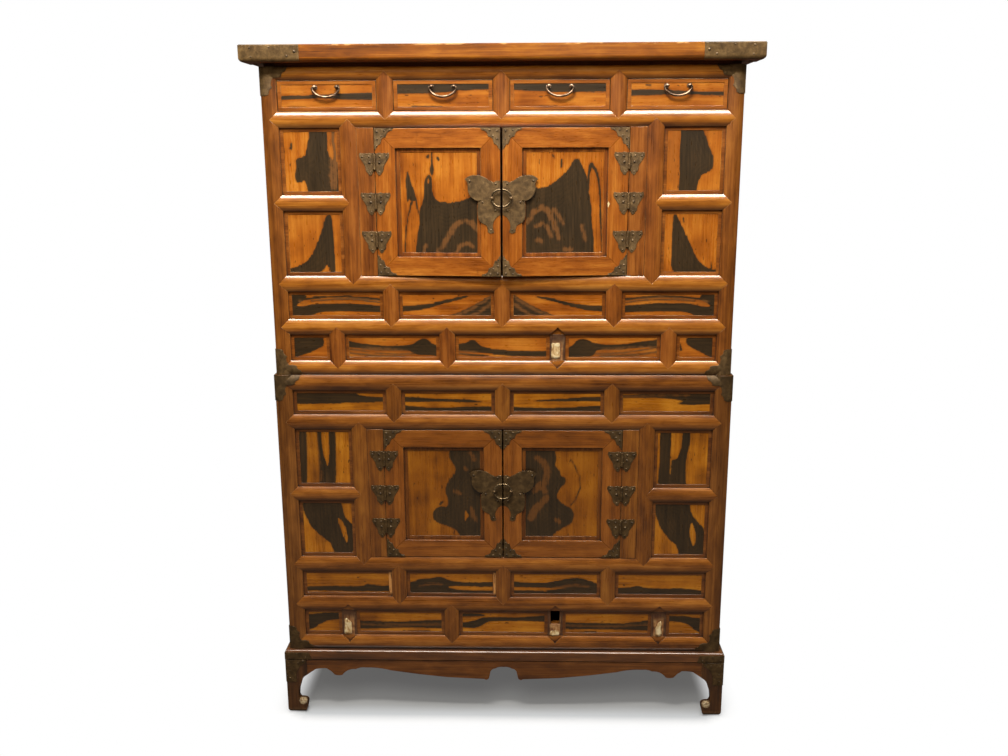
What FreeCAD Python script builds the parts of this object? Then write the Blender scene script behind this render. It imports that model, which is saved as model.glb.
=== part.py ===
import FreeCAD, Part
import math
import os

os.makedirs("parts", exist_ok=True)

# A two tier chest: two framed cases stacked on a low stand, under an overhanging top board.
# Lengths are in millimetres and angles in degrees. X runs across the front, +Y to the back, +Z up.

# Widths and depths: the front opening and its posts, and how far each level steps out from the last
opening_width = 906.0
upper_post_width = 32.0
lower_post_width = 37.0
stand_side_step = 10.0
top_side_overhang = 30.0
upper_depth = 460.0
lower_front_step = 5.0
stand_front_step = 8.0
top_front_overhang = 30.0
top_back_overhang = 10.0
top_thick = 32.0
top_edge_round = 8.0
ceiling_thick = 7.0
ceiling_setback = 8.0
seat_gap = 0.3
overrun = 5.0

# Heights of the rails and of the rows between them, from the foot of each case
upper_foot_rail = 30.0
upper_five_row = 57.0
upper_low_rail = 33.0
upper_four_row = 59.0
upper_sill_rail = 33.0
upper_door_row = 301.0
upper_head_rail = 32.0
upper_drawer_row = 61.0
upper_crown_rail = 26.0
lower_foot_rail = 33.0
lower_five_row = 62.0
lower_low_rail = 34.0
lower_four_row = 62.0
lower_sill_rail = 35.0
lower_door_row = 297.0
lower_head_rail = 33.0
lower_top_row = 54.0
lower_crown_rail = 34.0

# Front frame: rounded posts, rails and slips, with boards held in grooves between them
muntin_width = 33.0
long_muntin_width = 34.0
short_rail_height = 32.0
crest_bulge = 5.5
slip_depth = 8.0
rail_depth = 26.0
post_depth = 40.0
panel_sink = 10.0
panel_thick = 7.0
panel_tongue = 4.0
panel_border = 7.5
border_height = 1.5
flat_sink = 4.0
hinge_board_width = 35.0
upper_missing_slips = (2,)
lower_missing_slips = (0, 2, 3)
hole_height = 33.0
hole_width = 21.0

# Sides, back, floor and ceiling of each case
side_rail_thick = 20.0
side_rail_height = 40.0
side_rail_setback = 1.5
side_panel_setback = 8.0
side_panel_thick = 8.0
floor_thick = 12.0
floor_lift = 8.0

# Doors
door_width = 257.4
door_gap = 3.2
hinge_gap = 1.0
door_clearance = 1.5
door_back_gap = 0.5
door_hinge_stile = 42.0
door_meeting_stile = 40.0
door_rail = 39.0
door_panel_sink = 6.0
door_panel_thick = 8.0
door_border = 8.5
door_border_height = 1.5
door_tongue = 6.0
door_stop_depth = 10.0
door_stop_height = 18.0
door_stop_lap = 8.0
upper_door_ajar = 4.8
lower_door_ajar = 0.0

# Drawers and their bays
drawer_face_sink = 6.0
drawer_front_thick = 18.0
drawer_side_play = 0.8
drawer_top_play = 0.8
drawer_run_gap = 0.3
drawer_border = 8.0
drawer_border_height = 1.5
drawer_box_height = 46.0
drawer_back_gap = 38.5
drawer_box_inset = 1.0
drawer_wall = 8.0
drawer_bottom_thick = 5.0
drawer_bottom_lift = 3.0
deck_thick = 10.0
guide_height = 15.0
divider_thick = 10.0

# Drawer pulls: a bail whose ends turn in two ball headed posts
pull_spacing = 45.0
pull_below_top = 14.0
pull_stand = 11.0
pull_ball = 4.3
pull_post = 2.2
pull_rose = 4.6
pull_rod = 2.5
pull_bend = 3.1
pull_nub = 3.0
pull_drop = 2.9
pull_corner = 11.0
bore_play = 0.15
rose_thick = 1.5
corner_turn = 60.0
quarter_turn = 90.0

# Carrying handles on the sides of both cases
handle_spacing = 104.0
handle_stand = 13.0
handle_ball = 5.2
handle_post = 3.2
handle_rose = 9.0
handle_rod = 2.8
handle_bend = 4.6
handle_nub = 4.0
handle_drop = 12.0
handle_corner = 24.0
handle_height_share = 0.62

# Iron plates, butterfly hinges, lock plates and half rings
plate_thick = 1.2
hinge_board_margin = 4.5
hinge_height = 46.0
hinge_knuckle = 3.0
hinge_pin = 1.2
hinge_pin_play = 0.06
hinge_knuckle_gap = 0.2
hinge_swing_gap = 0.3
hinge_leaf_gap = 0.4
hinge_place_shares = (0.235, 0.495, 0.76)
hinge_barrel_share = 0.68
hinge_barrel_top_share = 0.05
corner_plate_width = 40.0
corner_plate_height = 43.0
lock_reach = 72.6
lock_height = 114.0
ring_place_share = 0.535
ring_radius = 16.8
ring_rod = 2.1
ring_stand = 8.0
ring_ball = 4.2
ring_bore_play = 0.55
ring_end_gap = 1.6
ring_post = 2.2
case_iron_arm = 56.0
case_iron_foot = 56.0
case_iron_side = 46.0
top_iron_length = 118.0
top_iron_side = 60.0
top_iron_wrap = 20.0

# Stand: a moulded frame on aprons and four scroll footed corner legs
mould_height = 22.0
mould_width = 60.0
mould_round = 5.0
stand_groove = 2.0
groove_depth = 3.0
leg_height = 135.0
leg_size = 48.0
leg_board = 16.0
apron_thick = 20.0
apron_setback = 1.5
eye_radius = 5.5
eye_proud = 0.6
eye_root = 3.0
mould_iron_length = 60.0
mould_iron_slant = 6.0
leg_iron_width = 47.0
leg_iron_height = 55.0

# Places worked out from the sizes above
upper_width = opening_width + upper_post_width * 2
lower_width = opening_width + lower_post_width * 2
stand_width = lower_width + stand_side_step * 2
top_width = upper_width + top_side_overhang * 2
lower_depth = upper_depth + lower_front_step
stand_depth = lower_depth + stand_front_step
top_depth = upper_depth + top_front_overhang + top_back_overhang
case_back = top_depth / 2 - top_back_overhang
rail_inside = case_back - side_rail_setback - side_rail_thick
door_thick = rail_depth - flat_sink - door_back_gap
hinge_reach = hinge_board_width + hinge_gap / 2 - hinge_board_margin
opening_half = opening_width / 2
muntin_pitch = (opening_width + muntin_width) / 4
four_centres = (-muntin_pitch, 0, muntin_pitch)
five_centres = tuple(muntin_pitch * (step - 1.5) for step in range(4))
meeting_x = door_gap / 2
door_edge_x = meeting_x + door_width
hinge_x = door_edge_x + hinge_gap / 2
hinge_board_in = door_edge_x + hinge_gap
hinge_board_out = hinge_board_in + hinge_board_width
long_muntin_out = hinge_board_out + long_muntin_width


# Shapes that the pieces share

def vec(x, y, z):
    return FreeCAD.Vector(x, y, z)


def block(x0, x1, y0, y1, z0, z1):
    """A plain board between two corners."""
    return Part.makeBox(x1 - x0, y1 - y0, z1 - z0, vec(x0, y0, z0))


def rod(centre, direction, radius, length):
    """A round bar from a point along a direction."""
    return Part.makeCylinder(radius, length, centre, direction)


def outline_solid(steps, place, sweep):
    """The solid of a closed outline. A step is a corner, or a corner and a point on the arc to it."""
    edges = []
    start = steps[-1]
    for step in steps:
        begin = place(start[0], start[1])
        end = place(step[0], step[1])
        if len(step) > 2:
            edges.append(Part.Arc(begin, place(step[2], step[3]), end).toShape())
        else:
            edges.append(Part.LineSegment(begin, end).toShape())
        start = step
    return Part.Face(Part.Wire(edges)).extrude(sweep)


def prism_x(steps, x0, x1):
    """An outline in Y and Z, carried along X."""
    return outline_solid(steps, lambda y, z: vec(x0, y, z), vec(x1 - x0, 0, 0))


def prism_y(steps, y0, y1):
    """An outline in X and Z, carried along Y."""
    return outline_solid(steps, lambda x, z: vec(x, y0, z), vec(0, y1 - y0, 0))


def prism_z(steps, z0, z1):
    """An outline in X and Y, carried along Z."""
    return outline_solid(steps, lambda x, y: vec(x, y, z0), vec(0, 0, z1 - z0))


def mirrored(shape):
    """The same piece on the other side of the chest."""
    return shape.mirror(vec(0, 0, 0), vec(1, 0, 0))


def both_sides(shapes):
    """The pieces given, and their mirror images."""
    return shapes + [mirrored(shape) for shape in shapes]


def turned(shape, x, y, angle):
    """A piece turned about an upright line."""
    copy = shape.copy()
    copy.rotate(vec(x, y, 0), vec(0, 0, 1), angle)
    return copy


def moved(shape, x, y, z):
    copy = shape.copy()
    copy.translate(vec(x, y, z))
    return copy


def fused(shapes):
    """Pieces that are one solid, forged, glued or carved as one."""
    return shapes[0].multiFuse(shapes[1:]).removeSplitter() if len(shapes) > 1 else shapes[0]


def cut_by(shape, tools):
    """A piece with the room of its neighbours taken out."""
    near = [tool for tool in tools if shape.BoundBox.intersect(tool.BoundBox)]
    return shape.cut(near) if near else shape


def save(name, shapes):
    """Writes one node: every solid of the shapes given."""
    solids = [solid for shape in shapes for solid in shape.Solids]
    Part.makeCompound(solids).exportStep("parts/" + name + ".step")


# The two cases

class Case:
    """The levels and planes of one case, from the foot up: a rail, a row, a rail and so on."""

    def __init__(self, name, base, width, depth, rails, rows, missing, ajar):
        self.name = name
        self.base = base
        self.half = width / 2
        self.front = case_back - depth
        self.missing = missing
        self.ajar = ajar
        self.rails = []
        self.rows = []
        level = base
        for index, rail in enumerate(rails):
            self.rails.append((level, level + rail))
            level += rail
            if index < len(rows):
                self.rows.append((level, level + rows[index]))
                level += rows[index]
        self.top = level
        self.flat = self.front + flat_sink
        self.side_inside = self.half - side_rail_setback - side_rail_thick
        self.panel_inside = self.half - side_panel_setback - side_panel_thick
        self.back_inside = case_back - side_panel_setback - side_panel_thick


stand_top = leg_height + stand_groove + mould_height
lower = Case("lower", stand_top, lower_width, lower_depth,
             (lower_foot_rail, lower_low_rail, lower_sill_rail, lower_head_rail, lower_crown_rail),
             (lower_five_row, lower_four_row, lower_door_row, lower_top_row),
             lower_missing_slips, lower_door_ajar)
upper = Case("upper", lower.top + seat_gap, upper_width, upper_depth,
             (upper_foot_rail, upper_low_rail, upper_sill_rail, upper_head_rail, upper_crown_rail),
             (upper_five_row, upper_four_row, upper_door_row, upper_drawer_row),
             upper_missing_slips, upper_door_ajar)


def rounded_rail(x0, x1, z0, z1, front, depth):
    """A rail lying along X, its front rounded to a crest."""
    edge = front + crest_bulge
    back = front + depth
    section = [(edge, z0), (edge, z1, front, (z0 + z1) / 2), (back, z1), (back, z0)]
    return prism_x(section, x0, x1)


def rounded_post(x0, x1, z0, z1, front, depth):
    """A post or slip standing along Z, its front rounded to a crest."""
    edge = front + crest_bulge
    back = front + depth
    section = [(x0, edge), (x1, edge, (x0 + x1) / 2, front), (x1, back), (x0, back)]
    return prism_z(section, z0, z1)


def rail_outline(x0, x1, z0, z1, front, depth):
    """The six sided front of a rail, pointed at both ends past its shoulders."""
    middle = (z0 + z1) / 2
    point = (z1 - z0) / 2
    corners = [(x0, z0), (x1, z0), (x1 + point, middle), (x1, z1), (x0, z1), (x0 - point, middle)]
    return prism_y(corners, front - overrun, front + depth)


def slip_outline(x0, x1, z0, z1, front, depth):
    """The six sided front of an upright slip, pointed at top and foot past its shoulders."""
    middle = (x0 + x1) / 2
    point = (x1 - x0) / 2
    corners = [(x0, z0), (middle, z0 - point), (x1, z0), (x1, z1), (middle, z1 + point), (x0, z1)]
    return prism_y(corners, front - overrun, front + depth)


def pointed_rail(x0, x1, z0, z1, front):
    point = (z1 - z0) / 2
    bar = rounded_rail(x0 - point, x1 + point, z0, z1, front, rail_depth)
    return bar.common(rail_outline(x0, x1, z0, z1, front, rail_depth))


def pointed_slip(x0, x1, z0, z1, front):
    point = (x1 - x0) / 2
    bar = rounded_post(x0, x1, z0 - point, z1 + point, front, slip_depth)
    return bar.common(slip_outline(x0, x1, z0, z1, front, slip_depth))


def grooved_panel(x0, x1, z0, z1, front):
    """A board held in grooves all round, its field sunk inside a narrow border."""
    near = front + panel_sink
    far = near + panel_thick
    board = block(x0 - panel_tongue, x1 + panel_tongue, near, far, z0 - panel_tongue, z1 + panel_tongue)
    field = block(x0 + panel_border, x1 - panel_border, near - overrun, near + border_height,
                  z0 + panel_border, z1 - panel_border)
    return board.cut(field)


def row_spans(centres):
    """The openings of a row between the posts and the uprights at the centres given."""
    edges = [-opening_half]
    for centre in centres:
        edges += [centre - muntin_width / 2, centre + muntin_width / 2]
    edges.append(opening_half)
    return list(zip(edges[0::2], edges[1::2]))


class FrontFrame:
    """All the members of one case's front, notched and grooved into each other."""

    def __init__(self, case):
        front = case.front
        five_row, four_row, door_row, top_row = case.rows
        uprights = [(centre, five_row, index in case.missing) for index, centre in enumerate(five_centres)]
        uprights += [(centre, row, False) for row in (four_row, top_row) for centre in four_centres]
        half = muntin_width / 2
        slips = []
        seats = []
        strips = []
        for centre, (z0, z1), missing in uprights:
            seats.append(slip_outline(centre - half, centre + half, z0, z1, front, slip_depth))
            strips.append(block(centre - half, centre + half,
                                front + slip_depth, front + rail_depth, z0, z1))
            if not missing:
                slips.append(pointed_slip(centre - half, centre + half, z0, z1, front))

        # The long uprights beside the doors, and the short rails across the side openings
        z0, z1 = door_row
        middle = (z0 + z1) / 2
        short_z0 = middle - short_rail_height / 2
        short_z1 = middle + short_rail_height / 2
        long_slip = pointed_slip(hinge_board_out, long_muntin_out, z0, z1, front)
        long_strip = block(hinge_board_out, long_muntin_out, front + slip_depth, front + rail_depth, z0, z1)
        short_rail = pointed_rail(long_muntin_out, opening_half, short_z0, short_z1, front).cut(long_strip)
        short_seat = rail_outline(long_muntin_out, opening_half, short_z0, short_z1, front, rail_depth)
        long_seat = slip_outline(hinge_board_out, long_muntin_out, z0, z1, front, slip_depth)
        hinge_board = block(hinge_board_in, hinge_board_out, case.flat, front + rail_depth, z0, z1)
        seats += both_sides([long_seat])

        # The boards: five, four and, below, four again across the rows, and two beside each door
        spans = [(x0, x1, five_row) for x0, x1 in row_spans(five_centres)]
        spans += [(x0, x1, four_row) for x0, x1 in row_spans(four_centres)]
        if case is lower:
            spans += [(x0, x1, top_row) for x0, x1 in row_spans(four_centres)]
        panels = [grooved_panel(x0, x1, row[0], row[1], front) for x0, x1, row in spans]
        panels += both_sides([grooved_panel(long_muntin_out, opening_half, z0, short_z0, front),
                              grooved_panel(long_muntin_out, opening_half, short_z1, z1, front)])

        rails = [pointed_rail(-opening_half, opening_half, low, high, front) for low, high in case.rails]
        rail_seats = [rail_outline(-opening_half, opening_half, low, high, front, rail_depth)
                      for low, high in case.rails]
        rails = [cut_by(rail, seats + panels) for rail in rails]
        short_rails = [cut_by(rail, panels) for rail in both_sides([short_rail])]
        stops = [self.door_stop(case, z0, 1), self.door_stop(case, z1, -1)]

        strips = strips + both_sides([long_strip])
        strips = [cut_by(strip, panels) for strip in strips]
        if case is lower:
            strips = [self.with_hole(strip, case) for strip in strips]
        slips = slips + both_sides([long_slip.cut(short_seat)])

        post = rounded_post(opening_half, case.half, case.base, case.top, front, post_depth)
        cutters = rail_seats + both_sides([short_seat]) + panels
        posts = [cut_by(piece, cutters) for piece in both_sides([post])]

        self.posts = posts
        self.rails = rails + short_rails + stops
        self.muntins = slips + strips + both_sides([hinge_board])
        self.panels = panels

    def door_stop(self, case, level, side):
        """The strip behind a rail that the closed doors meet, at the foot or head of the doorway."""
        near = case.front + rail_depth
        lap = level + side * door_stop_lap
        root = lap - side * door_stop_height
        return block(-hinge_board_in, hinge_board_in, near, near + door_stop_depth,
                     min(lap, root), max(lap, root))

    def with_hole(self, strip, case):
        """The strip right of centre in the lowest row has lost the upper part of its wood."""
        centre = five_centres[2]
        top = case.rows[0][1]
        hole = block(centre - hole_width / 2, centre + hole_width / 2, case.front, case.front + post_depth,
                     top - hole_height, top)
        return cut_by(strip, [hole])


def rear_posts(case):
    post = block(opening_half, case.half, case_back - post_depth, case_back, case.base, case.top)
    return both_sides([post])


def side_frame(case):
    """One side: three rails between the corner posts, and two boards set back behind their faces."""
    y0 = case.front + post_depth
    y1 = case_back - post_depth
    outside = case.half - side_rail_setback
    middle = (case.base + case.top) / 2
    floors = (case.base, middle - side_rail_height / 2, case.top - side_rail_height)
    rails = [block(case.side_inside, outside, y0, y1, low, low + side_rail_height) for low in floors]
    boards = [block(case.panel_inside, case.panel_inside + side_panel_thick, y0, y1,
                    floors[place] + side_rail_height, floors[place + 1]) for place in range(2)]
    return both_sides(rails + boards)


def back_frame(case):
    """The back: three rails between the rear posts, and two boards set in behind them."""
    middle = (case.base + case.top) / 2
    floors = (case.base, middle - side_rail_height / 2, case.top - side_rail_height)
    rails = [block(-opening_half, opening_half, rail_inside, rail_inside + side_rail_thick,
                   low, low + side_rail_height) for low in floors]
    boards = [block(-opening_half, opening_half, case.back_inside, case.back_inside + side_panel_thick,
                    floors[place] + side_rail_height, floors[place + 1]) for place in range(2)]
    return rails + boards


def inner_board(case, low, high, posts):
    """A board that fills the case from the front rails to the back rails, round the corner posts."""
    board = block(-case.side_inside, case.side_inside, case.front + rail_depth, rail_inside, low, high)
    return cut_by(board, posts)


def floor_board(case, posts):
    low = case.base + floor_lift
    return inner_board(case, low, low + floor_thick, posts)


# Top board, drawer bays and drawers

def top_board():
    """The overhanging board, its lower edges rounded."""
    low = upper.top + ceiling_thick
    board = block(-top_width / 2, top_width / 2, -top_depth / 2, top_depth / 2, low, low + top_thick)
    edges = [edge for edge in board.Edges if edge.BoundBox.ZMax < low + top_thick / 2]
    return board.makeFillet(top_edge_round, edges)


def ceiling_board():
    """The thin board that closes the upper case, a little inside its front and sides."""
    return block(-upper.half + ceiling_setback, upper.half - ceiling_setback,
                 upper.front + ceiling_setback, case_back - ceiling_setback,
                 upper.top, upper.top + ceiling_thick)


def drawer_deck(posts):
    """The board that the drawers run on, level with the top of the rail above the doors."""
    high = upper.rails[3][1]
    board = block(-upper.panel_inside, upper.panel_inside, upper.front + rail_depth, upper.back_inside,
                  high - deck_thick, high)
    return cut_by(board, posts)


def drawer_guides():
    """The guides between the drawers, each with its upright divider, and one at either side."""
    low = upper.rails[3][1]
    y0 = upper.front + rail_depth
    pieces = []
    for centre in four_centres:
        guide = block(centre - muntin_width / 2, centre + muntin_width / 2, y0, rail_inside,
                      low, low + guide_height)
        divider = block(centre - divider_thick / 2, centre + divider_thick / 2, y0, rail_inside,
                        low, upper.top)
        pieces.append(fused([guide, divider]))
    outer = block(opening_half, upper.panel_inside, upper.front + post_depth, case_back - post_depth,
                  low, low + guide_height)
    return pieces + both_sides([outer])


def drawer_span(index):
    """The opening of one drawer, between the posts and uprights."""
    return row_spans(four_centres)[index]


def drawer_front(index):
    """A drawer front with a narrow raised border."""
    x0, x1 = drawer_span(index)
    z0, z1 = upper.rows[3]
    x0 += drawer_side_play
    x1 -= drawer_side_play
    z0 += drawer_run_gap
    z1 -= drawer_top_play
    face = upper.front + drawer_face_sink
    board = block(x0, x1, face, face + drawer_front_thick, z0, z1)
    field = block(x0 + drawer_border, x1 - drawer_border, face - overrun, face + drawer_border_height,
                  z0 + drawer_border, z1 - drawer_border)
    return board.cut(field)


def drawer_box(index):
    """The sides, back and bottom of a drawer, behind its front."""
    x0, x1 = drawer_span(index)
    x0 += drawer_side_play + drawer_box_inset
    x1 -= drawer_side_play + drawer_box_inset
    low = upper.rows[3][0] + drawer_run_gap
    high = low + drawer_box_height
    y0 = upper.front + drawer_face_sink + drawer_front_thick
    y1 = rail_inside - drawer_back_gap
    left = block(x0, x0 + drawer_wall, y0, y1, low, high)
    right = block(x1 - drawer_wall, x1, y0, y1, low, high)
    back = block(x0 + drawer_wall, x1 - drawer_wall, y1 - drawer_wall, y1, low, high)
    bottom = block(x0 + drawer_wall, x1 - drawer_wall, y0, y1 - drawer_wall,
                   low + drawer_bottom_lift, low + drawer_bottom_lift + drawer_bottom_thick)
    return [left, right, back, bottom]


# Bails and the ball headed posts that carry them, drawn on a face at y = 0 that looks towards -Y

class Pull:
    """The sizes of one bail and its two posts."""

    def __init__(self, spacing, stand, ball, post, rose, thick, bend, nub, drop, corner):
        self.half = spacing / 2
        self.stand = stand
        self.ball = ball
        self.post = post
        self.rose = rose
        self.rod = thick
        self.bend = bend
        self.nub = nub
        self.drop = drop
        self.corner = corner

    def posts(self):
        """Two posts on round roses, their balls bored for the ends of the bail."""
        pieces = []
        for x in (-self.half, self.half):
            rose = rod(vec(x, 0, 0), vec(0, -1, 0), self.rose, rose_thick)
            shank = rod(vec(x, 0, 0), vec(0, -1, 0), self.post, self.stand)
            ball = Part.makeSphere(self.ball, vec(x, -self.stand, 0))
            bore = rod(vec(x - self.ball - overrun, -self.stand, 0), vec(1, 0, 0),
                       self.rod + bore_play, (self.ball + overrun) * 2)
            pieces.append(fused([rose, shank, ball]).cut(bore))
        return pieces

    def bail(self):
        """A bent rod: in through one ball, down, across in a shallow bow, up and in through the other."""
        turn = math.radians(corner_turn)
        inner = self.half - self.ball - self.nub
        outer = self.half + self.ball + self.bend
        side = [(inner, 0), (outer - self.bend, 0)]
        bend_mid = (outer - self.bend + self.bend * math.sin(math.pi / 4),
                    -self.bend + self.bend * math.cos(math.pi / 4))
        bend_end = (outer, -self.bend)
        drop_end = (outer, -self.bend - self.drop)
        centre_x = outer - self.corner
        centre_z = drop_end[1]
        corner_mid = (centre_x + self.corner * math.cos(turn / 2),
                      centre_z - self.corner * math.sin(turn / 2))
        corner_end = (centre_x + self.corner * math.cos(turn), centre_z - self.corner * math.sin(turn))
        bow = corner_end[0] / math.cos(turn)
        bottom = (0, corner_end[1] - bow * (1 - math.sin(turn)))

        def at(point, sign):
            return vec(sign * point[0], -self.stand, point[1])

        edges = [Part.LineSegment(at(side[0], -1), at(side[1], -1)).toShape(),
                 Part.Arc(at(side[1], -1), at(bend_mid, -1), at(bend_end, -1)).toShape(),
                 Part.LineSegment(at(bend_end, -1), at(drop_end, -1)).toShape(),
                 Part.Arc(at(drop_end, -1), at(corner_mid, -1), at(corner_end, -1)).toShape(),
                 Part.Arc(at(corner_end, -1), at(bottom, 1), at(corner_end, 1)).toShape(),
                 Part.Arc(at(corner_end, 1), at(corner_mid, 1), at(drop_end, 1)).toShape(),
                 Part.LineSegment(at(drop_end, 1), at(bend_end, 1)).toShape(),
                 Part.Arc(at(bend_end, 1), at(bend_mid, 1), at(side[1], 1)).toShape(),
                 Part.LineSegment(at(side[1], 1), at(side[0], 1)).toShape()]
        circle = Part.Wire([Part.makeCircle(self.rod, at(side[0], -1), vec(1, 0, 0))])
        return Part.Wire(edges).makePipeShell([circle], True, False)


drawer_pull = Pull(pull_spacing, pull_stand, pull_ball, pull_post, pull_rose, pull_rod, pull_bend,
                   pull_nub, pull_drop, pull_corner)
side_handle = Pull(handle_spacing, handle_stand, handle_ball, handle_post, handle_rose, handle_rod,
                   handle_bend, handle_nub, handle_drop, handle_corner)


def on_drawer(shape, index):
    """A pull's piece set on the face of one drawer."""
    x0, x1 = drawer_span(index)
    face = upper.front + drawer_face_sink + drawer_border_height
    return moved(shape, (x0 + x1) / 2, face, upper.rows[3][1] - pull_below_top)


def on_side(shape, case, side):
    """A handle's piece set on the side of a case: side is -1 at the left and 1 at the right."""
    level = case.base + (case.top - case.base) * handle_height_share
    face = case.panel_inside + side_panel_thick
    return moved(turned(shape, 0, 0, side * quarter_turn), side * face, (case.front + case_back) / 2, level)


# Doors, drawn shut for the left leaf of a case and mirrored for the right one

def door_levels(case):
    low, high = case.rows[2]
    return low + door_clearance, high - door_clearance


def door_panel(case):
    """The board of a door, its field sunk inside a narrow border like the boards of the case."""
    low, high = door_levels(case)
    near = case.flat + door_panel_sink
    x0 = -door_edge_x + door_hinge_stile
    x1 = -meeting_x - door_meeting_stile
    z0 = low + door_rail
    z1 = high - door_rail
    board = block(x0 - door_tongue, x1 + door_tongue, near, near + door_panel_thick,
                  z0 - door_tongue, z1 + door_tongue)
    field = block(x0 + door_border, x1 - door_border, near - overrun, near + door_border_height,
                  z0 + door_border, z1 - door_border)
    return board.cut(field)


def door_frame(case):
    """Two stiles and two rails, mitred at the corners and grooved for the panel."""
    z0, z3 = door_levels(case)
    z1 = z0 + door_rail
    z2 = z3 - door_rail
    x0 = -door_edge_x
    x1 = x0 + door_hinge_stile
    x3 = -meeting_x
    x2 = x3 - door_meeting_stile
    fronts = [[(x0, z0), (x1, z1), (x1, z2), (x0, z3)],
              [(x3, z0), (x3, z3), (x2, z2), (x2, z1)],
              [(x0, z0), (x3, z0), (x2, z1), (x1, z1)],
              [(x0, z3), (x1, z2), (x2, z2), (x3, z3)]]
    panel = door_panel(case)
    return [prism_y(front, case.flat, case.flat + door_thick).cut(panel) for front in fronts]


# A hinge leaf from its knuckle out, as shares of the leaf's reach and height
leaf_shares = [(0, -0.02), (-0.34, 0, -0.17, -0.03), (-0.68, -0.02, -0.51, -0.035), (-0.95, 0, -0.81, -0.03),
               (-1, -0.10), (-0.93, -0.25, -0.985, -0.18), (-0.64, -0.56, -0.80, -0.39),
               (-0.60, -0.70, -0.60, -0.63), (-0.45, -0.88, -0.56, -0.80), (-0.29, -1, -0.385, -0.96),
               (-0.14, -0.87, -0.20, -0.95), (0, -0.76)]
# Half a butterfly lock plate from the meeting edge out, as shares of its reach and height about the ring
lock_shares = [(0, 0.295), (-0.19, 0.272, -0.10, 0.300), (-0.34, 0.316), (-0.71, 0.398, -0.52, 0.382),
               (-1, 0.325, -0.87, 0.385), (-0.92, 0.21, -0.93, 0.275), (-0.64, -0.052, -0.84, 0.03),
               (-0.50, -0.035), (-0.63, -0.079), (-0.62, -0.368, -0.645, -0.22),
               (-0.41, -0.474, -0.53, -0.44), (-0.365, -0.53), (-0.36, -0.595),
               (-0.185, -0.602, -0.27, -0.625), (-0.215, -0.52), (-0.075, -0.320, -0.17, -0.39), (0, -0.301)]
# A door's corner plate from its corner, with a scalloped edge across
corner_shares = [(0, 0), (1, 0), (0.93, -0.10), (0.66, -0.22, 0.80, -0.12), (0.60, -0.40),
                 (0.36, -0.56, 0.46, -0.43), (0.30, -0.74), (0.10, -0.92, 0.16, -0.78), (0, -1)]


def scaled(shares, width, height, x, z):
    """An outline's steps from its shares, about a point."""
    steps = []
    for step in shares:
        places = []
        for across, along in zip(step[0::2], step[1::2]):
            places += [x + width * across, z + height * along]
        steps.append(tuple(places))
    return steps


def hinge_leaf(case, place, on_door):
    """One leaf of a butterfly hinge: the case leaf holds the pin, the door leaf turns on it."""
    low, high = case.rows[2]
    top = low + (high - low) * place + hinge_height / 2
    steps = scaled(leaf_shares, hinge_reach, hinge_height, -hinge_x, top)
    plate = prism_y(steps, case.flat - plate_thick, case.flat)
    y = case.flat - hinge_knuckle
    plate = plate.cut(block(-hinge_x - hinge_leaf_gap, -hinge_x + overrun,
                            case.flat - plate_thick - overrun, case.flat + overrun,
                            top - hinge_height - overrun, top + overrun))
    if on_door:
        plate = plate.mirror(vec(-hinge_x, 0, 0), vec(1, 0, 0))
    knuckle_top = top - hinge_height * hinge_barrel_top_share
    barrel = hinge_height * hinge_barrel_share
    third = barrel / 3
    levels = [knuckle_top - third * step for step in range(4)]
    middle = rod(vec(-hinge_x, y, levels[2] + hinge_knuckle_gap), vec(0, 0, 1), hinge_knuckle,
                 third - hinge_knuckle_gap * 2)
    sweep = hinge_knuckle + hinge_swing_gap
    if on_door:
        rooms = [rod(vec(-hinge_x, y, levels[1]), vec(0, 0, 1), sweep, third + overrun),
                 rod(vec(-hinge_x, y, levels[3] - overrun), vec(0, 0, 1), sweep, third + overrun)]
        bore = rod(vec(-hinge_x, y, levels[3]), vec(0, 0, 1), hinge_pin + hinge_pin_play, barrel)
        return fused([cut_by(plate, rooms), middle]).cut(bore)
    room = rod(vec(-hinge_x, y, levels[2]), vec(0, 0, 1), sweep, third)
    ends = [rod(vec(-hinge_x, y, levels[1]), vec(0, 0, 1), hinge_knuckle, third),
            rod(vec(-hinge_x, y, levels[3]), vec(0, 0, 1), hinge_knuckle, third)]
    pin = rod(vec(-hinge_x, y, levels[3]), vec(0, 0, 1), hinge_pin, barrel)
    return fused([plate.cut(room)] + ends + [pin])


def corner_plates(case):
    """The scalloped plates on the four corners of a door."""
    low, high = door_levels(case)
    plates = []
    for x, across in ((-door_edge_x, 1), (-meeting_x, -1)):
        for z, up in ((low, -1), (high, 1)):
            steps = scaled(corner_shares, across * corner_plate_width, up * corner_plate_height, x, z)
            plates.append(prism_y(steps, case.flat - plate_thick, case.flat))
    return plates


def ring_level(case):
    low, high = case.rows[2]
    return low + (high - low) * ring_place_share


def ring_plane(case):
    return case.flat - plate_thick - ring_stand


def ring_axis_x():
    return -meeting_x - ring_radius


def lock_plate(case):
    """Half a butterfly on the meeting edge of a door, with the ball headed staple of its half ring."""
    level = ring_level(case)
    steps = scaled(lock_shares, lock_reach, lock_height, -meeting_x, level)
    plate = prism_y(steps, case.flat - plate_thick, case.flat)
    x = ring_axis_x()
    shank = rod(vec(x, case.flat, level), vec(0, -1, 0), ring_post, plate_thick + ring_stand)
    ball = Part.makeSphere(ring_ball, vec(x, ring_plane(case), level))
    bore = rod(vec(x, ring_plane(case), level - ring_ball - overrun), vec(0, 0, 1),
               ring_rod + ring_bore_play, (ring_ball + overrun) * 2)
    return fused([plate, shank, ball]).cut(bore)


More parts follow.
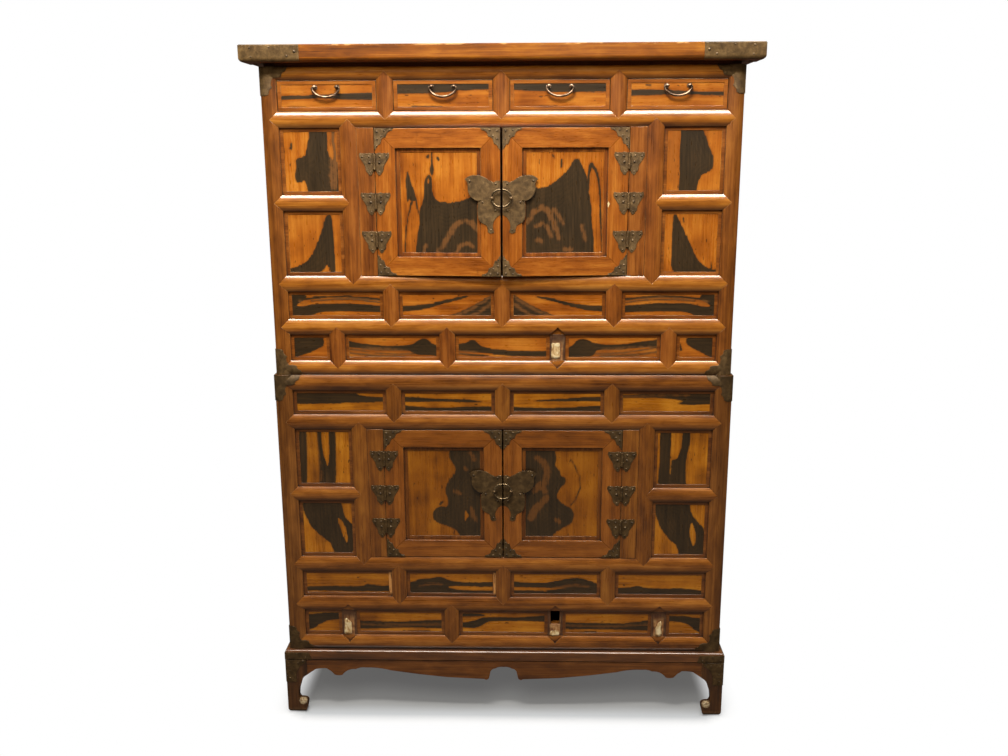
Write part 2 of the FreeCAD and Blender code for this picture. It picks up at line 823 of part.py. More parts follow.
def half_ring(case):
    """Half a ring that turns in the staple of its door like a page."""
    level = ring_level(case)
    y = ring_plane(case)
    spread = math.pi / 2 - ring_end_gap / ring_radius

    def at(angle):
        return vec(-meeting_x - ring_radius * math.cos(angle), y, level + ring_radius * math.sin(angle))

    path = Part.Wire([Part.Arc(at(-spread), at(-spread / 2), at(0)).toShape(),
                      Part.Arc(at(0), at(spread / 2), at(spread)).toShape()])
    along = vec(-math.sin(spread), 0, math.cos(spread))
    circle = Part.Wire([Part.makeCircle(ring_rod, at(-spread), along)])
    return path.makePipeShell([circle], True, False)


def door_irons(case):
    hinges = [hinge_leaf(case, place, True) for place in hinge_place_shares]
    return hinges + corner_plates(case) + [lock_plate(case)]


def hang_door(case, shapes, side):
    """Sets a door's pieces at their resting angle, on the left (-1) or right (1) of the doorway."""
    y = case.flat - hinge_knuckle
    pieces = [turned(shape, -hinge_x, y, -case.ajar) for shape in shapes]
    return pieces if side < 0 else [mirrored(piece) for piece in pieces]


# Iron corners of the cases and the top board

# An angle iron from the case's corner: down the post, and along the rail, as shares of its two arms
angle_shares = [(0, 0), (1, 0), (0.96, -0.10), (0.86, -0.20, 0.93, -0.17), (0.79, -0.34, 0.80, -0.27),
                (0.50, -0.38, 0.64, -0.38), (0.41, -0.54, 0.43, -0.46), (0.44, -0.72, 0.40, -0.63),
                (0.35, -0.80), (0.31, -0.93, 0.31, -0.87), (0.16, -1, 0.25, -0.98), (0, -1)]


def corner_iron(case, post, rail, z, up):
    """An angle of sheet iron that follows the rounded post and rail, and turns onto the side."""
    x = -case.half
    steps = scaled(angle_shares, case_iron_arm, up * case_iron_foot, x, z)
    outline = prism_y(steps, case.front - overrun, case.front + crest_bulge)
    skin = post.fuse(rail)
    sheet = moved(skin, 0, -plate_thick, 0).cut(skin).common(outline)
    edge = case.front + crest_bulge - plate_thick
    side = scaled(angle_shares, case_iron_side, up * case_iron_foot, edge, z)
    return [sheet, prism_x(side, x - plate_thick, x)]


def case_irons(case):
    """The angle irons at the four front corners of a case."""
    post = rounded_post(-case.half, -opening_half, case.base, case.top, case.front, post_depth)
    pieces = []
    for (z0, z1), level, up in ((case.rails[4], case.top, 1), (case.rails[0], case.base, -1)):
        notch = rail_outline(-opening_half, opening_half, z0, z1, case.front, rail_depth)
        rail = pointed_rail(-opening_half, opening_half, z0, z1, case.front)
        pieces += corner_iron(case, post.cut(notch), rail, level, up)
    return both_sides(pieces)


def top_iron(shell, front, wrap):
    """The band at a left corner of the top board: along one long edge and round the end."""
    x = -top_width / 2
    y0 = -top_depth / 2
    y1 = y0 + top_iron_side
    high = upper.top + ceiling_thick + top_thick
    low = upper.top
    along = block(x - overrun, x + top_iron_length, y0 - overrun, y0 + wrap, low, high)
    end = block(x - overrun, x + top_iron_wrap, y0 - overrun, y1, low, high)
    band = shell.common(along.fuse(end))
    return band if front else band.mirror(vec(0, 0, 0), vec(0, 1, 0))


def top_irons():
    """The bands at the four corners of the top board, turned in a little under its lower edges."""
    board = top_board()
    shell = moved(board, -plate_thick, -plate_thick, -plate_thick).cut(board)
    return both_sides([top_iron(shell, True, top_iron_wrap), top_iron(shell, False, top_back_overhang)])


# The stand

def stand_front_y():
    return case_back - stand_depth


def stand_half():
    return stand_width / 2


# A leg seen from the front, from its outer face inwards, as shares of the leg's width and height
leg_shares = [(0, 1), (0, 0.09), (0.17, 0, 0.046, 0.036), (0.70, 0), (0.90, 0.085, 0.83, 0.022),
              (0.955, 0.180, 0.945, 0.135), (0.83, 0.250, 0.925, 0.232), (0.64, 0.258, 0.73, 0.258),
              (0.545, 0.340, 0.566, 0.287), (0.645, 0.513, 0.572, 0.430), (0.76, 0.633, 0.695, 0.577),
              (1, 0.72, 0.87, 0.69), (1, 1)]
eye_shares = (0.73, 0.200)
knee_share = 0.72


def leg():
    """The front left leg: two boards meeting at the corner, each sawn to the scroll footed outline."""
    x = -stand_half()
    y = stand_front_y()
    front = prism_y(scaled(leg_shares, leg_size, leg_height, x, 0), y, y + leg_size)
    side = prism_x(scaled(leg_shares, leg_size, leg_height, y, 0), x, x + leg_size)
    near = x + leg_board
    far = x + leg_size + overrun
    deep = y + leg_size + overrun
    hollow = block(near, far, y + leg_board, deep, -overrun, leg_height * knee_share)
    return front.common(side).cut(hollow)


def legs():
    """The four legs, front pair and rear pair, and the worn round eyes of the front scrolls."""
    front_left = leg()
    middle = (stand_front_y() + case_back) / 2
    rear_left = front_left.mirror(vec(0, middle, 0), vec(0, 1, 0))
    eye_x = -stand_half() + leg_size * eye_shares[0]
    eye_y = stand_front_y() + eye_root
    eye_z = leg_height * eye_shares[1]
    eye = rod(vec(eye_x, eye_y, eye_z), vec(0, -1, 0), eye_radius, eye_root + eye_proud)
    return both_sides([front_left.fuse(eye)]), both_sides([rear_left])


# The lower edge of the front apron from the leg to the middle, as shares of half its length and of its drop
apron_shares = [(1, 0.86), (0.956, 0.54), (0.90, 0.49, 0.925, 0.49), (0.876, 0.66), (0.86, 0.85),
                (0.82, 0.86, 0.84, 0.89), (0.75, 0.52, 0.80, 0.65), (0.70, 0.425, 0.73, 0.44),
                (0.57, 0.58, 0.63, 0.455), (0.43, 0.78), (0.285, 0.94), (0.098, 1.03),
                (0.073, 0.93, 0.076, 1.01), (0.066, 0.60), (0.042, 0.42, 0.056, 0.47), (0, 0.33, 0.02, 0.33)]
apron_drop = 44.0
plain_apron_drop = 30.0


def front_apron():
    """The shaped board between the front legs."""
    half = stand_half() - leg_size
    near = stand_front_y() + apron_setback
    edge = scaled(apron_shares, -half, -apron_drop, 0, leg_height)
    left = prism_y([(0, leg_height), (-half, leg_height)] + edge, near, near + apron_thick)
    return fused([left, mirrored(left)])


def plain_aprons():
    """The straight boards between the legs at the sides and back."""
    x = stand_half() - apron_setback
    y0 = stand_front_y() + leg_size
    y1 = case_back - leg_size
    low = leg_height - plain_apron_drop
    side = block(x - apron_thick, x, y0, y1, low, leg_height)
    half = stand_half() - leg_size
    y2 = case_back - apron_setback
    rear = block(-half, half, y2 - apron_thick, y2, low, leg_height)
    return both_sides([side]) + [rear]


def stand_frame():
    """The moulded frame that the lower case stands on: four mitred rails over a shallow groove."""
    x = stand_half()
    y0 = stand_front_y()
    y1 = case_back
    z1 = leg_height + stand_groove
    solid = block(-x, x, y0, y1, z1, stand_top)
    upright = [edge for edge in solid.Edges if edge.BoundBox.ZMin > stand_top - mould_round]
    solid = solid.makeFillet(mould_round, upright)
    solid = solid.fuse(block(-x + groove_depth, x - groove_depth, y0 + groove_depth, y1 - groove_depth,
                             leg_height, z1 + mould_round))
    well = block(-x + mould_width, x - mould_width, y0 + mould_width, y1 - mould_width,
                 leg_height - overrun, stand_top + overrun)
    ring = solid.cut(well)
    corner = mould_width
    quarters = [[(-x, y0), (x, y0), (x - corner, y0 + corner), (-x + corner, y0 + corner)],
                [(-x, y1), (-x + corner, y1 - corner), (x - corner, y1 - corner), (x, y1)],
                [(-x, y0), (-x + corner, y0 + corner), (-x + corner, y1 - corner), (-x, y1)],
                [(x, y0), (x, y1), (x - corner, y1 - corner), (x - corner, y0 + corner)]]
    return [ring.common(prism_z(quarter, leg_height, stand_top)) for quarter in quarters]


# A bracket iron on the top of a leg, as shares of its width and height from the outer top corner
bracket_shares = [(0, 0), (1, 0), (0.94, -0.14), (0.60, -0.42, 0.73, -0.25), (0.49, -0.74, 0.51, -0.58),
                  (0.49, -1), (0, -1)]


def stand_irons():
    """The bands round the front corners of the frame, and the bracket plates on the front legs."""
    x = -stand_half()
    y = stand_front_y()
    z1 = leg_height + stand_groove
    z2 = stand_top - mould_round
    band_front = [(x - plate_thick, z1), (x + mould_iron_length, z1),
                  (x + mould_iron_length - mould_iron_slant, z2), (x - plate_thick, z2)]
    front_bracket = scaled(bracket_shares, leg_iron_width, leg_iron_height, x, leg_height)
    side_bracket = scaled(bracket_shares, leg_iron_width, leg_iron_height, y, leg_height)
    pieces = [prism_y(band_front, y - plate_thick, y),
              block(x - plate_thick, x, y, y + mould_iron_length, z1, z2),
              prism_y(front_bracket, y - plate_thick, y),
              prism_x(side_bracket, x - plate_thick, x)]
    return both_sides(pieces)


# Every node

front_legs, rear_legs = legs()
save("stand_top_frame", stand_frame())
save("stand_aprons", [front_apron()] + plain_aprons())
save("stand_front_legs", front_legs)
save("stand_rear_legs", rear_legs)
save("stand_irons", stand_irons())

for case in (lower, upper):
    frame = FrontFrame(case)
    posts = frame.posts + rear_posts(case)
    save(case.name + "_posts", posts)
    save(case.name + "_rails", frame.rails)
    save(case.name + "_muntins", frame.muntins)
    save(case.name + "_panels", frame.panels)
    save(case.name + "_sides", side_frame(case))
    save(case.name + "_back", back_frame(case))
    save(case.name + "_bottom", [floor_board(case, posts)])
    leaves = [hinge_leaf(case, place, False) for place in hinge_place_shares]
    handle_posts = [on_side(post, case, side) for side in (-1, 1) for post in side_handle.posts()]
    save(case.name + "_irons", both_sides(leaves) + case_irons(case) + handle_posts)
    if case is lower:
        save("lower_top", [inner_board(case, case.top - floor_thick, case.top, posts)])
    else:
        save("upper_top_board", [top_board(), ceiling_board()] + top_irons())
        save("upper_drawer_carcass", [drawer_deck(posts)] + drawer_guides())
    for side, hand in ((-1, "left"), (1, "right")):
        save(case.name + "_" + hand + "_handle", [on_side(side_handle.bail(), case, side)])
        door = case.name + "_" + hand + "_door_"
        save(door + "frame", hang_door(case, door_frame(case), side))
        save(door + "panel", hang_door(case, [door_panel(case)], side))
        save(door + "irons", hang_door(case, door_irons(case), side))
        save(door + "ring", hang_door(case, [half_ring(case)], side))

for index in range(4):
    drawer = "drawer_" + str(index + 1) + "_"
    save(drawer + "front", [drawer_front(index)])
    save(drawer + "box", drawer_box(index))
    save(drawer + "posts", [on_drawer(post, index) for post in drawer_pull.posts()])
    save(drawer + "bail", [on_drawer(drawer_pull.bail(), index)])
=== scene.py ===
import math
import bpy
import numpy as np
from mathutils import Matrix, Vector


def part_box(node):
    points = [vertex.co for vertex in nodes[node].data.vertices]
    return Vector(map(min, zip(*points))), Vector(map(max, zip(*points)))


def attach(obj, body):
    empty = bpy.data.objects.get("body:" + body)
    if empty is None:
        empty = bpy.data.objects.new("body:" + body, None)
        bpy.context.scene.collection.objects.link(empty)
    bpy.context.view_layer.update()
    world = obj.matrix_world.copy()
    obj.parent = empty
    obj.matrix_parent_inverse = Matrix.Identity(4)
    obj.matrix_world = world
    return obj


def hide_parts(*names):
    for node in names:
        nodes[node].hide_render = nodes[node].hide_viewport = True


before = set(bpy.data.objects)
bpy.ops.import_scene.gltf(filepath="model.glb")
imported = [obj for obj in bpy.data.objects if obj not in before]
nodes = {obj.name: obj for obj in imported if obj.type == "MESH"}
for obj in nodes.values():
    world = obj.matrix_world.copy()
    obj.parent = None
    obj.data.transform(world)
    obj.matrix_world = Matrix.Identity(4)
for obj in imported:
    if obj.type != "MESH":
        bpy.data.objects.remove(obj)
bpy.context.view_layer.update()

# The stand is four mitred hardwood rails with a rounded edge, laid on sawn aprons and corner legs.
# The wood is rubbed with oil and a thin varnish, darker in the corners with grime and painted shade,
# and bare where feet and brooms have worn it, and the scrolls of the front legs have lost their skin
# down to pale wood.


class Value:
    """A number or colour that runs through a finish. Sums on it add Math nodes."""

    def __init__(self, finish, socket):
        self.finish = finish
        self.socket = socket

    def math(self, operation, first, second):
        return self.finish.add("ShaderNodeMath", {"operation": operation}, {0: first, 1: second})

    def __add__(self, other):
        return self.math("ADD", self, other)

    def __radd__(self, other):
        return self.math("ADD", other, self)

    def __sub__(self, other):
        return self.math("SUBTRACT", self, other)

    def __rsub__(self, other):
        return self.math("SUBTRACT", other, self)

    def __mul__(self, other):
        return self.math("MULTIPLY", self, other)

    def __rmul__(self, other):
        return self.math("MULTIPLY", other, self)

    def __abs__(self):
        return self.math("ABSOLUTE", self, 0.0)

    def __gt__(self, other):
        return self.math("GREATER_THAN", self, other)

    def __lt__(self, other):
        return self.math("LESS_THAN", self, other)

    def least(self, other):
        return self.math("MINIMUM", self, other)

    def most(self, other):
        return self.math("MAXIMUM", self, other)


class Finish:
    """A finish while it is made up: one shader, and whatever feeds its sockets."""

    def __init__(self, name, sockets):
        self.material = bpy.data.materials.new(name)
        self.material.use_nodes = True
        self.nodes = self.material.node_tree.nodes
        self.links = self.material.node_tree.links
        self.nodes.clear()
        self.shader = self.nodes.new("ShaderNodeBsdfPrincipled")
        surface = self.nodes.new("ShaderNodeOutputMaterial")
        self.links.new(self.shader.outputs[0], surface.inputs["Surface"])
        self.feed(self.shader, sockets)

    def feed(self, node, sockets):
        for name, value in sockets.items():
            if isinstance(value, Value):
                self.links.new(value.socket, node.inputs[name])
            else:
                node.inputs[name].default_value = value

    def add(self, kind, settings, sockets, output=0):
        node = self.nodes.new(kind)
        for name, value in settings.items():
            if name == "stops":
                ramp = node.color_ramp.elements
                ramp.remove(ramp[1])
                ramp[0].position, ramp[0].color = value[0]
                for position, colour in value[1:]:
                    ramp.new(position).color = colour
            else:
                setattr(node, name, value)
        self.feed(node, sockets)
        return Value(self, node.outputs[output])


def tint(red, green, blue):
    """A colour as it looks on the chest, each part from 0 to 255, in a shader's own light values."""
    parts = [part / 255 for part in (red, green, blue)]
    return tuple(((part + 0.055) / 1.055) ** 2.4 if part > 0.04 else part / 12.92 for part in parts) + (1.0,)


def axes(finish):
    """The place of a point on the chest, along X, Y and Z, in metres."""
    place = finish.add("ShaderNodeTexCoord", {}, {}, "Object")
    x = finish.add("ShaderNodeSeparateXYZ", {}, {0: place}, "X")
    outputs = x.socket.node.outputs
    return x, Value(finish, outputs["Y"]), Value(finish, outputs["Z"])


def cloud(finish, stretch, detail=2.0, wander=0.0):
    """Soft noise about 0.5, with so many spots to the metre along each axis."""
    place = finish.add("ShaderNodeTexCoord", {}, {}, "Object")
    drawn = finish.add("ShaderNodeVectorMath", {"operation": "MULTIPLY"}, {0: place, 1: stretch})
    return finish.add("ShaderNodeTexNoise", {"noise_dimensions": "3D"},
                      {"Vector": drawn, "Scale": 1.0, "Detail": detail, "Distortion": wander})


def grown(finish, along, slow, quick, detail=2.0, wander=0.0):
    """Noise drawn out along the grain."""
    stretch = [quick, quick, quick]
    stretch[along] = slow
    return cloud(finish, tuple(stretch), detail, wander)


def span(finish, value, low, high):
    """0 below low and 1 above high, with a soft step between."""
    return finish.add("ShaderNodeMapRange", {"interpolation_type": "SMOOTHSTEP"},
                      {"Value": value, "From Min": low, "From Max": high})


def within(finish, value, low, high, soft):
    """1 between low and high, with soft ends."""
    return span(finish, value, low - soft, low + soft) * (1.0 - span(finish, value, high - soft, high + soft))


def mixed(finish, share, first, second):
    return finish.add("ShaderNodeMix", {"data_type": "RGBA"}, {0: share, 6: first, 7: second}, 2)


def rounded_edges(finish, radius):
    """The normal with every edge eased over, and a mask of those edges."""
    eased = finish.add("ShaderNodeBevel", {"samples": 4}, {"Radius": radius})
    plain = finish.add("ShaderNodeNewGeometry", {}, {}, "Normal")
    same = finish.add("ShaderNodeVectorMath", {"operation": "DOT_PRODUCT"}, {0: eased, 1: plain}, "Value")
    return eased, span(finish, 1.0 - same, 0.02, 0.22)


def openness(finish, reach):
    """1 in the open and 0 deep in a corner."""
    return finish.add("ShaderNodeAmbientOcclusion", {"samples": 6}, {"Distance": reach}, "AO")


def board_tone(finish, along, tones):
    """The colour of a sawn board and the height of its fibres."""
    bands = grown(finish, along, 2.1, 42.0, 4.0, 0.9)
    fibres = grown(finish, along, 9.0, 430.0, 4.0)
    pores = span(finish, grown(finish, along, 34.0, 900.0, 2.0), 0.60, 0.70)
    age = grown(finish, along, 19.0, 55.0, 5.0, 0.4)
    tone = bands * 0.42 + fibres * 0.28 + age * 0.30
    dark, middle, light = tones
    colour = finish.add("ShaderNodeValToRGB", {"stops": [(0.36, dark), (0.50, middle), (0.64, light)]},
                        {0: tone})
    colour = mixed(finish, pores * 0.40, colour, dark)
    return colour, fibres * 0.6 + bands * 0.4 - pores * 0.35


def varnished(finish, colour, height, grime_and_shade_colour, bare, roughness=0.34, wear=0.65, grime_and_shade_strength=0.92, under=0.35):
    """Old varnish over a colour: grime and painted shade in corners, painted shade on undersides, bare rubbed
    edges, fibres in the gloss.
    """
    eased, edge = rounded_edges(finish, 0.0018)
    shut = 1.0 - openness(finish, 0.013)
    seam = 1.0 - openness(finish, 0.0035)
    patches = cloud(finish, (31.0, 31.0, 31.0), 5.0, 0.4)
    plain = finish.add("ShaderNodeNewGeometry", {}, {}, "Normal")
    facing = finish.add("ShaderNodeSeparateXYZ", {}, {0: plain}, "Z")
    # Grime with painted shade: darker in corners and seams found by occlusion, with smoky patches; then
    # painted shade on faces turned down, as much as under says.
    grime_and_shade = span(finish, shut + patches * 0.22, 0.34, 0.74).most(span(finish, seam, 0.30, 0.60)) * grime_and_shade_strength
    grime_and_shade = grime_and_shade.most(span(finish, 0.0 - facing, 0.08, 0.60) * under)
    rub = edge * span(finish, patches, 0.40, 0.66) * wear * (1.0 - grime_and_shade)
    handled = cloud(finish, (5.0, 5.0, 5.0), 2.0)
    colour = mixed(finish, rub, colour, bare)
    colour = mixed(finish, grime_and_shade, colour, grime_and_shade_colour)
    rough = height * 0.16 + handled * 0.14 + grime_and_shade * 0.25 + rub * 0.15 + (roughness - 0.15)
    bump = finish.add("ShaderNodeBump", {}, {"Strength": 0.35, "Distance": 0.0004, "Height": height,
                                             "Normal": eased})
    finish.feed(finish.shader, {"Base Color": colour, "Roughness": rough, "Normal": bump})
    return finish.material


def timber(name, along, tones, grime_and_shade_colour, bare, roughness=0.34, coat=0.30, under=0.35):
    finish = Finish(name, {"Coat Weight": coat, "Coat Roughness": 0.13, "Specular IOR Level": 0.35})
    colour, height = board_tone(finish, along, tones)
    return varnished(finish, colour, height, grime_and_shade_colour, bare, roughness, under=under)


def dress(material, *names):
    """A finish on CAD pieces that keep their own shape."""
    for name in names:
        nodes[name].data.materials.clear()
        nodes[name].data.materials.append(material)


# The lower case and the stand are darker partly in their own wood and partly as painted shade for the dimmer
# light low down.
lower_tones = (tint(84, 44, 13), tint(138, 80, 25), tint(176, 112, 44))
stand_tones = (tint(58, 31, 14), tint(98, 56, 24), tint(134, 84, 40))
lower_grime_and_shade = tint(34, 18, 9)
lower_bare = tint(206, 146, 84)

stand_frame = Finish("stand_frame_wood", {"Coat Weight": 0.7, "Coat Roughness": 0.13})
x, y, z = axes(stand_frame)
long_colour, long_height = board_tone(stand_frame, 0, stand_tones)
side_colour, side_height = board_tone(stand_frame, 1, stand_tones)
stand_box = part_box("stand_top_frame")
from_side = stand_box[1].x - abs(x)
from_end = (stand_box[1].y - stand_box[0].y) / 2 - abs(y - (stand_box[0].y + stand_box[1].y) / 2)
on_side = from_side < from_end
mitre = 1.0 - span(stand_frame, abs(from_side - from_end), 0.0003, 0.0009)
colour = mixed(stand_frame, on_side, long_colour, side_colour)
colour = mixed(stand_frame, mitre * 0.8, colour, lower_grime_and_shade)
height = long_height * (1.0 - on_side) + side_height * on_side
dress(varnished(stand_frame, colour, height, lower_grime_and_shade, lower_bare), "stand_top_frame")

dress(timber("apron_wood", 0, (tint(66, 34, 12), tint(106, 60, 21), tint(138, 84, 36)), lower_grime_and_shade,
             lower_bare, 0.34,
             0.6), "stand_aprons")

# The legs are darker partly as painted shade for the dimmer light low down.
leg_tones = (tint(44, 23, 8), tint(72, 41, 14), tint(98, 60, 26))
scroll_eye = (0.4645, -0.2320, 0.0310)
scroll_reach = 0.0088
foot_wear = 0.010

leg_wood = Finish("leg_wood", {"Coat Weight": 0.2, "Coat Roughness": 0.25})
x, y, z = axes(leg_wood)
colour, height = board_tone(leg_wood, 2, leg_tones)
eye_x = abs(x) - scroll_eye[0]
eye_z = z - scroll_eye[2]
eye_y = (y - scroll_eye[1]) * 0.9
off_eye = eye_x * eye_x + eye_y * eye_y + eye_z * eye_z
chips = cloud(leg_wood, (260.0, 260.0, 260.0), 3.0)
lost = (1.0 - span(leg_wood, off_eye + (chips - 0.5) * 0.00016, scroll_reach ** 2 * 0.6,
                   scroll_reach ** 2 * 1.5))
scuffed = (1.0 - span(leg_wood, z + chips * 0.012, foot_wear * 0.8, foot_wear * 2.2)) * 0.45
colour = mixed(leg_wood, scuffed, colour, tint(176, 134, 88))
pale = mixed(leg_wood, span(leg_wood, chips, 0.38, 0.6), tint(148, 118, 84), tint(216, 196, 158))
colour = mixed(leg_wood, lost * 0.94, colour, pale)
dress(varnished(leg_wood, colour, height - lost * 0.5, lower_grime_and_shade, lower_bare, 0.42), "stand_front_legs")
dress(timber("rear_leg_wood", 2, leg_tones, lower_grime_and_shade, lower_bare, 0.42, 0.2), "stand_rear_legs")

# Each case has a front frame of posts and rails, shaped to a soft crest and pointed into one another.
# The posts and rails are sawn from one reddish hardwood, the upper case paler and more golden than the
# lower one, whose darker tones are partly painted shade for the dimmer light low down. Their crests have
# been handled to a gloss, while the joints and corners are darkened with grime and painted shade, and
# the undersides with painted shade.
upper_tones = (tint(112, 60, 16), tint(168, 100, 30), tint(204, 134, 52))
upper_grime_and_shade = tint(44, 22, 8)
upper_bare = tint(240, 186, 112)

dress(timber("lower_post_wood", 2, (tint(70, 38, 14), tint(112, 66, 24), tint(146, 92, 38)), lower_grime_and_shade,
             lower_bare),
      "lower_posts")
dress(timber("lower_rail_wood", 0, lower_tones, lower_grime_and_shade, lower_bare, 0.30, 0.6, 0.62), "lower_rails")
dress(timber("upper_post_wood", 2, (tint(88, 46, 14), tint(136, 78, 26), tint(172, 108, 42)), upper_grime_and_shade,
             upper_bare),
      "upper_posts")
dress(timber("upper_rail_wood", 0, upper_tones, upper_grime_and_shade, upper_bare, 0.30, 0.6, 0.62), "upper_rails")

# The uprights between the boards are slips glued over flat strips, pointed into the rails above and
# below. Four slips are gone: the strips behind them show raw, fibrous wood with old glue, and one
# strip has lost its upper end altogether.
lost_slips = {"upper": ((0.1174, 0.8333, 0.8903),),
              "lower": ((-0.3521, 0.192, 0.254), (0.1174, 0.192, 0.254), (0.3521, 0.192, 0.254))}
strip_planes = {"upper": -0.2122, "lower": -0.2172}
# The lower slips are darker partly as painted shade for the dimmer light low down.
slip_tones = {"upper": (tint(92, 46, 14), tint(144, 80, 25), tint(180, 110, 42)),
              "lower": (tint(80, 42, 12), tint(126, 72, 20), tint(160, 101, 34))}
grime_and_shade_colours = {"upper": upper_grime_and_shade, "lower": lower_grime_and_shade}
bares = {"upper": upper_bare, "lower": lower_bare}
slip_half = 0.0165

for tier in ("upper", "lower"):
    slip_wood = Finish(tier + "_slip_wood", {"Coat Weight": 0.3, "Coat Roughness": 0.18})
    x, y, z = axes(slip_wood)
    colour, height = board_tone(slip_wood, 2, slip_tones[tier])
    fibres = grown(slip_wood, 2, 40.0, 700.0, 3.0)
    glue = cloud(slip_wood, (70.0, 70.0, 110.0), 3.0)
    raw_colour = slip_wood.add("ShaderNodeValToRGB",
                               {"stops": [(0.36, tint(92, 50, 24)), (0.50, tint(164, 112, 66)),
                                          (0.66, tint(206, 164, 110))]},
                               {0: fibres * 0.5 + glue * 0.5})
    raw = 0.0
    shaded = 0.0
    for centre, low, high in lost_slips[tier]:
        across = within(slip_wood, x, centre - slip_half, centre + slip_half, 0.0004)
        up = within(slip_wood, z, low - 0.002, high + 0.002, 0.0004)
        deep = within(slip_wood, y, strip_planes[tier] - 0.0006, strip_planes[tier] + 0.0030, 0.0002)
        raw = across * up * deep + raw
        # Painted shade: the upper part and the two rims of each bare strip are darker, for the shade in the
        # recess the slip left.
        top = span(slip_wood, z + glue * 0.012, low + (high - low) * 0.62, low + (high - low) * 0.95)
        rim = span(slip_wood, abs(x - centre), slip_half * 0.55, slip_half * 0.8)
        shaded = across * up * deep * top.most(rim) + shaded
    raw_colour = mixed(slip_wood, shaded * 0.85, raw_colour, tint(58, 28, 14))
    colour = mixed(slip_wood, raw, colour, raw_colour)
    height = height * (1.0 - raw) + fibres * raw * 3.0
    dress(varnished(slip_wood, colour, height, grime_and_shade_colours[tier], bares[tier], 0.32), tier + "_muntins")

# Old backing paper and torn fibres still stick to three of the raw strips. Each remnant is a thin
# crumpled scrap, glued flat in its middle and lifting at its torn edge.
scrap_thick = 0.0004
scrap_lift = 0.0014
scraps = {
    "upper_scrap_1": ("upper_case", -0.2122, [(104.5, 838), (103.8, 852), (105.2, 862), (104.0, 870),
                                              (108.0, 872.5), (113.0, 870.5), (119.5, 873), (122.8, 871),
                                              (122.0, 860), (123.5, 848), (122.2, 839.5), (116.0, 837),
                                              (110.0, 839.2)]),
    "lower_scrap_1": ("lower_case", -0.2172, [(-364.5, 193), (-364.0, 206), (-362.0, 219), (-361.5, 231),
                                              (-357.5, 234), (-353.0, 228), (-347.5, 225.5), (-346.5, 212),
                                              (-347.2, 201),
                                              (-346.8, 193)]),
    "lower_scrap_2": ("lower_case", -0.2172, [(105.0, 193), (106.0, 202), (110.5, 206), (115.0, 204.5),
                                              (119.0, 207.5), (124.5, 206.5), (127.0, 199),
                                              (126.5, 193)]),
    "lower_scrap_3": ("lower_case", -0.2172, [(344.5, 193), (346.5, 204), (345.0, 214), (349.0, 222),
                                              (352.5, 229), (357.5, 231.5), (359.0, 222), (356.5, 213),
                                              (359.5, 203),
                                              (358.0, 193)]),
}

paper = Finish("torn_paper", {"Specular IOR Level": 0.2})
x, y, z = axes(paper)
stains = cloud(paper, (120.0, 120.0, 60.0), 4.0, 0.6)
fibres = cloud(paper, (900.0, 900.0, 240.0), 2.0)
colour = paper.add("ShaderNodeValToRGB", {"stops": [(0.34, tint(150, 104, 62)), (0.46, tint(214, 178, 124)),
                                                    (0.60, tint(240, 222, 180))]},
                   {0: stains * 0.75 + fibres * 0.25})
bump = paper.add("ShaderNodeBump", {}, {"Strength": 0.6, "Distance": 0.0006, "Height": stains + fibres * 0.4})
paper.feed(paper.shader, {"Base Color": colour, "Roughness": fibres * 0.2 + 0.72, "Normal": bump})


def smooth_ring(points, turns=2):
    """A closed outline with its corners cut again and again, as a drawn line has none."""
    ring = np.array(points, float)
    for turn in range(turns):
        after = np.roll(ring, -1, axis=0)
        ring = np.stack([ring * 0.75 + after * 0.25, ring * 0.25 + after * 0.75], 1).reshape(-1, 2)
    return ring


def mesh_object(name, points, faces, material, smooth=True):
    mesh = bpy.data.meshes.new(name)
    mesh.from_pydata([tuple(point) for point in points], [], faces)
    mesh.materials.append(material)
    mesh.polygons.foreach_set("use_smooth", [smooth] * len(mesh.polygons))
    mesh.update()
    piece = bpy.data.objects.new(name, mesh)
    bpy.context.scene.collection.objects.link(piece)
    return piece


for name, (body, plane, outline) in scraps.items():
    ring = smooth_ring(outline, 1) / 1000
    middle = ring.mean(axis=0)
    points, faces = [], []
    shares = (1.0, 0.72, 0.42)
    count = len(ring)
    for layer, share in enumerate(shares):
        for index, point in enumerate(ring):
            where = middle + (point - middle) * share
            curl = 0.0003 * math.sin(index * 2.3)
            if layer == 0:
                curl = scrap_lift * (0.5 + 0.5 * math.sin(index * 1.7))
            points.append((where[0], plane - scrap_thick - abs(curl), where[1]))
    points.append((middle[0], plane - scrap_thick, middle[1]))
    for layer in range(len(shares) - 1):
        for index in range(count):
            after = (index + 1) % count
            faces.append((layer * count + index, layer * count + after, (layer + 1) * count + after,
                          (layer + 1) * count + index))
    last = (len(shares) - 1) * count
    faces += [(last + index, last + (index + 1) % count, last + count) for index in range(count)]
    scrap = mesh_object(name, points, faces, paper.material)
    backing = scrap.modifiers.new("thickness", "SOLIDIFY")
    backing.thickness = scrap_thick
    backing.offset = 0.0
    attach(scrap, body)

# The boards sit in grooves of the frame, each with a narrow plain border left round its field.
# They are persimmon, the same amber as the leaves on them, with painted highlights beside two of the
# slips: pale strips for the light glancing off the board bevels there.
# The lower grounds, and the lower boards below, are darker partly as painted shade for the dimmer light low
# down.
upper_ground = (tint(130, 66, 14), tint(182, 102, 25), tint(216, 139, 48))
lower_ground = (tint(118, 65, 9), tint(174, 104, 14), tint(208, 138, 36))
lower_door_ground = (tint(96, 50, 5), tint(140, 79, 7), tint(168, 103, 18))

dress(timber("upper_board_wood", 0, (tint(90, 44, 12), tint(138, 76, 22), tint(180, 110, 42)), upper_grime_and_shade,
             upper_bare),
      "upper_panels")

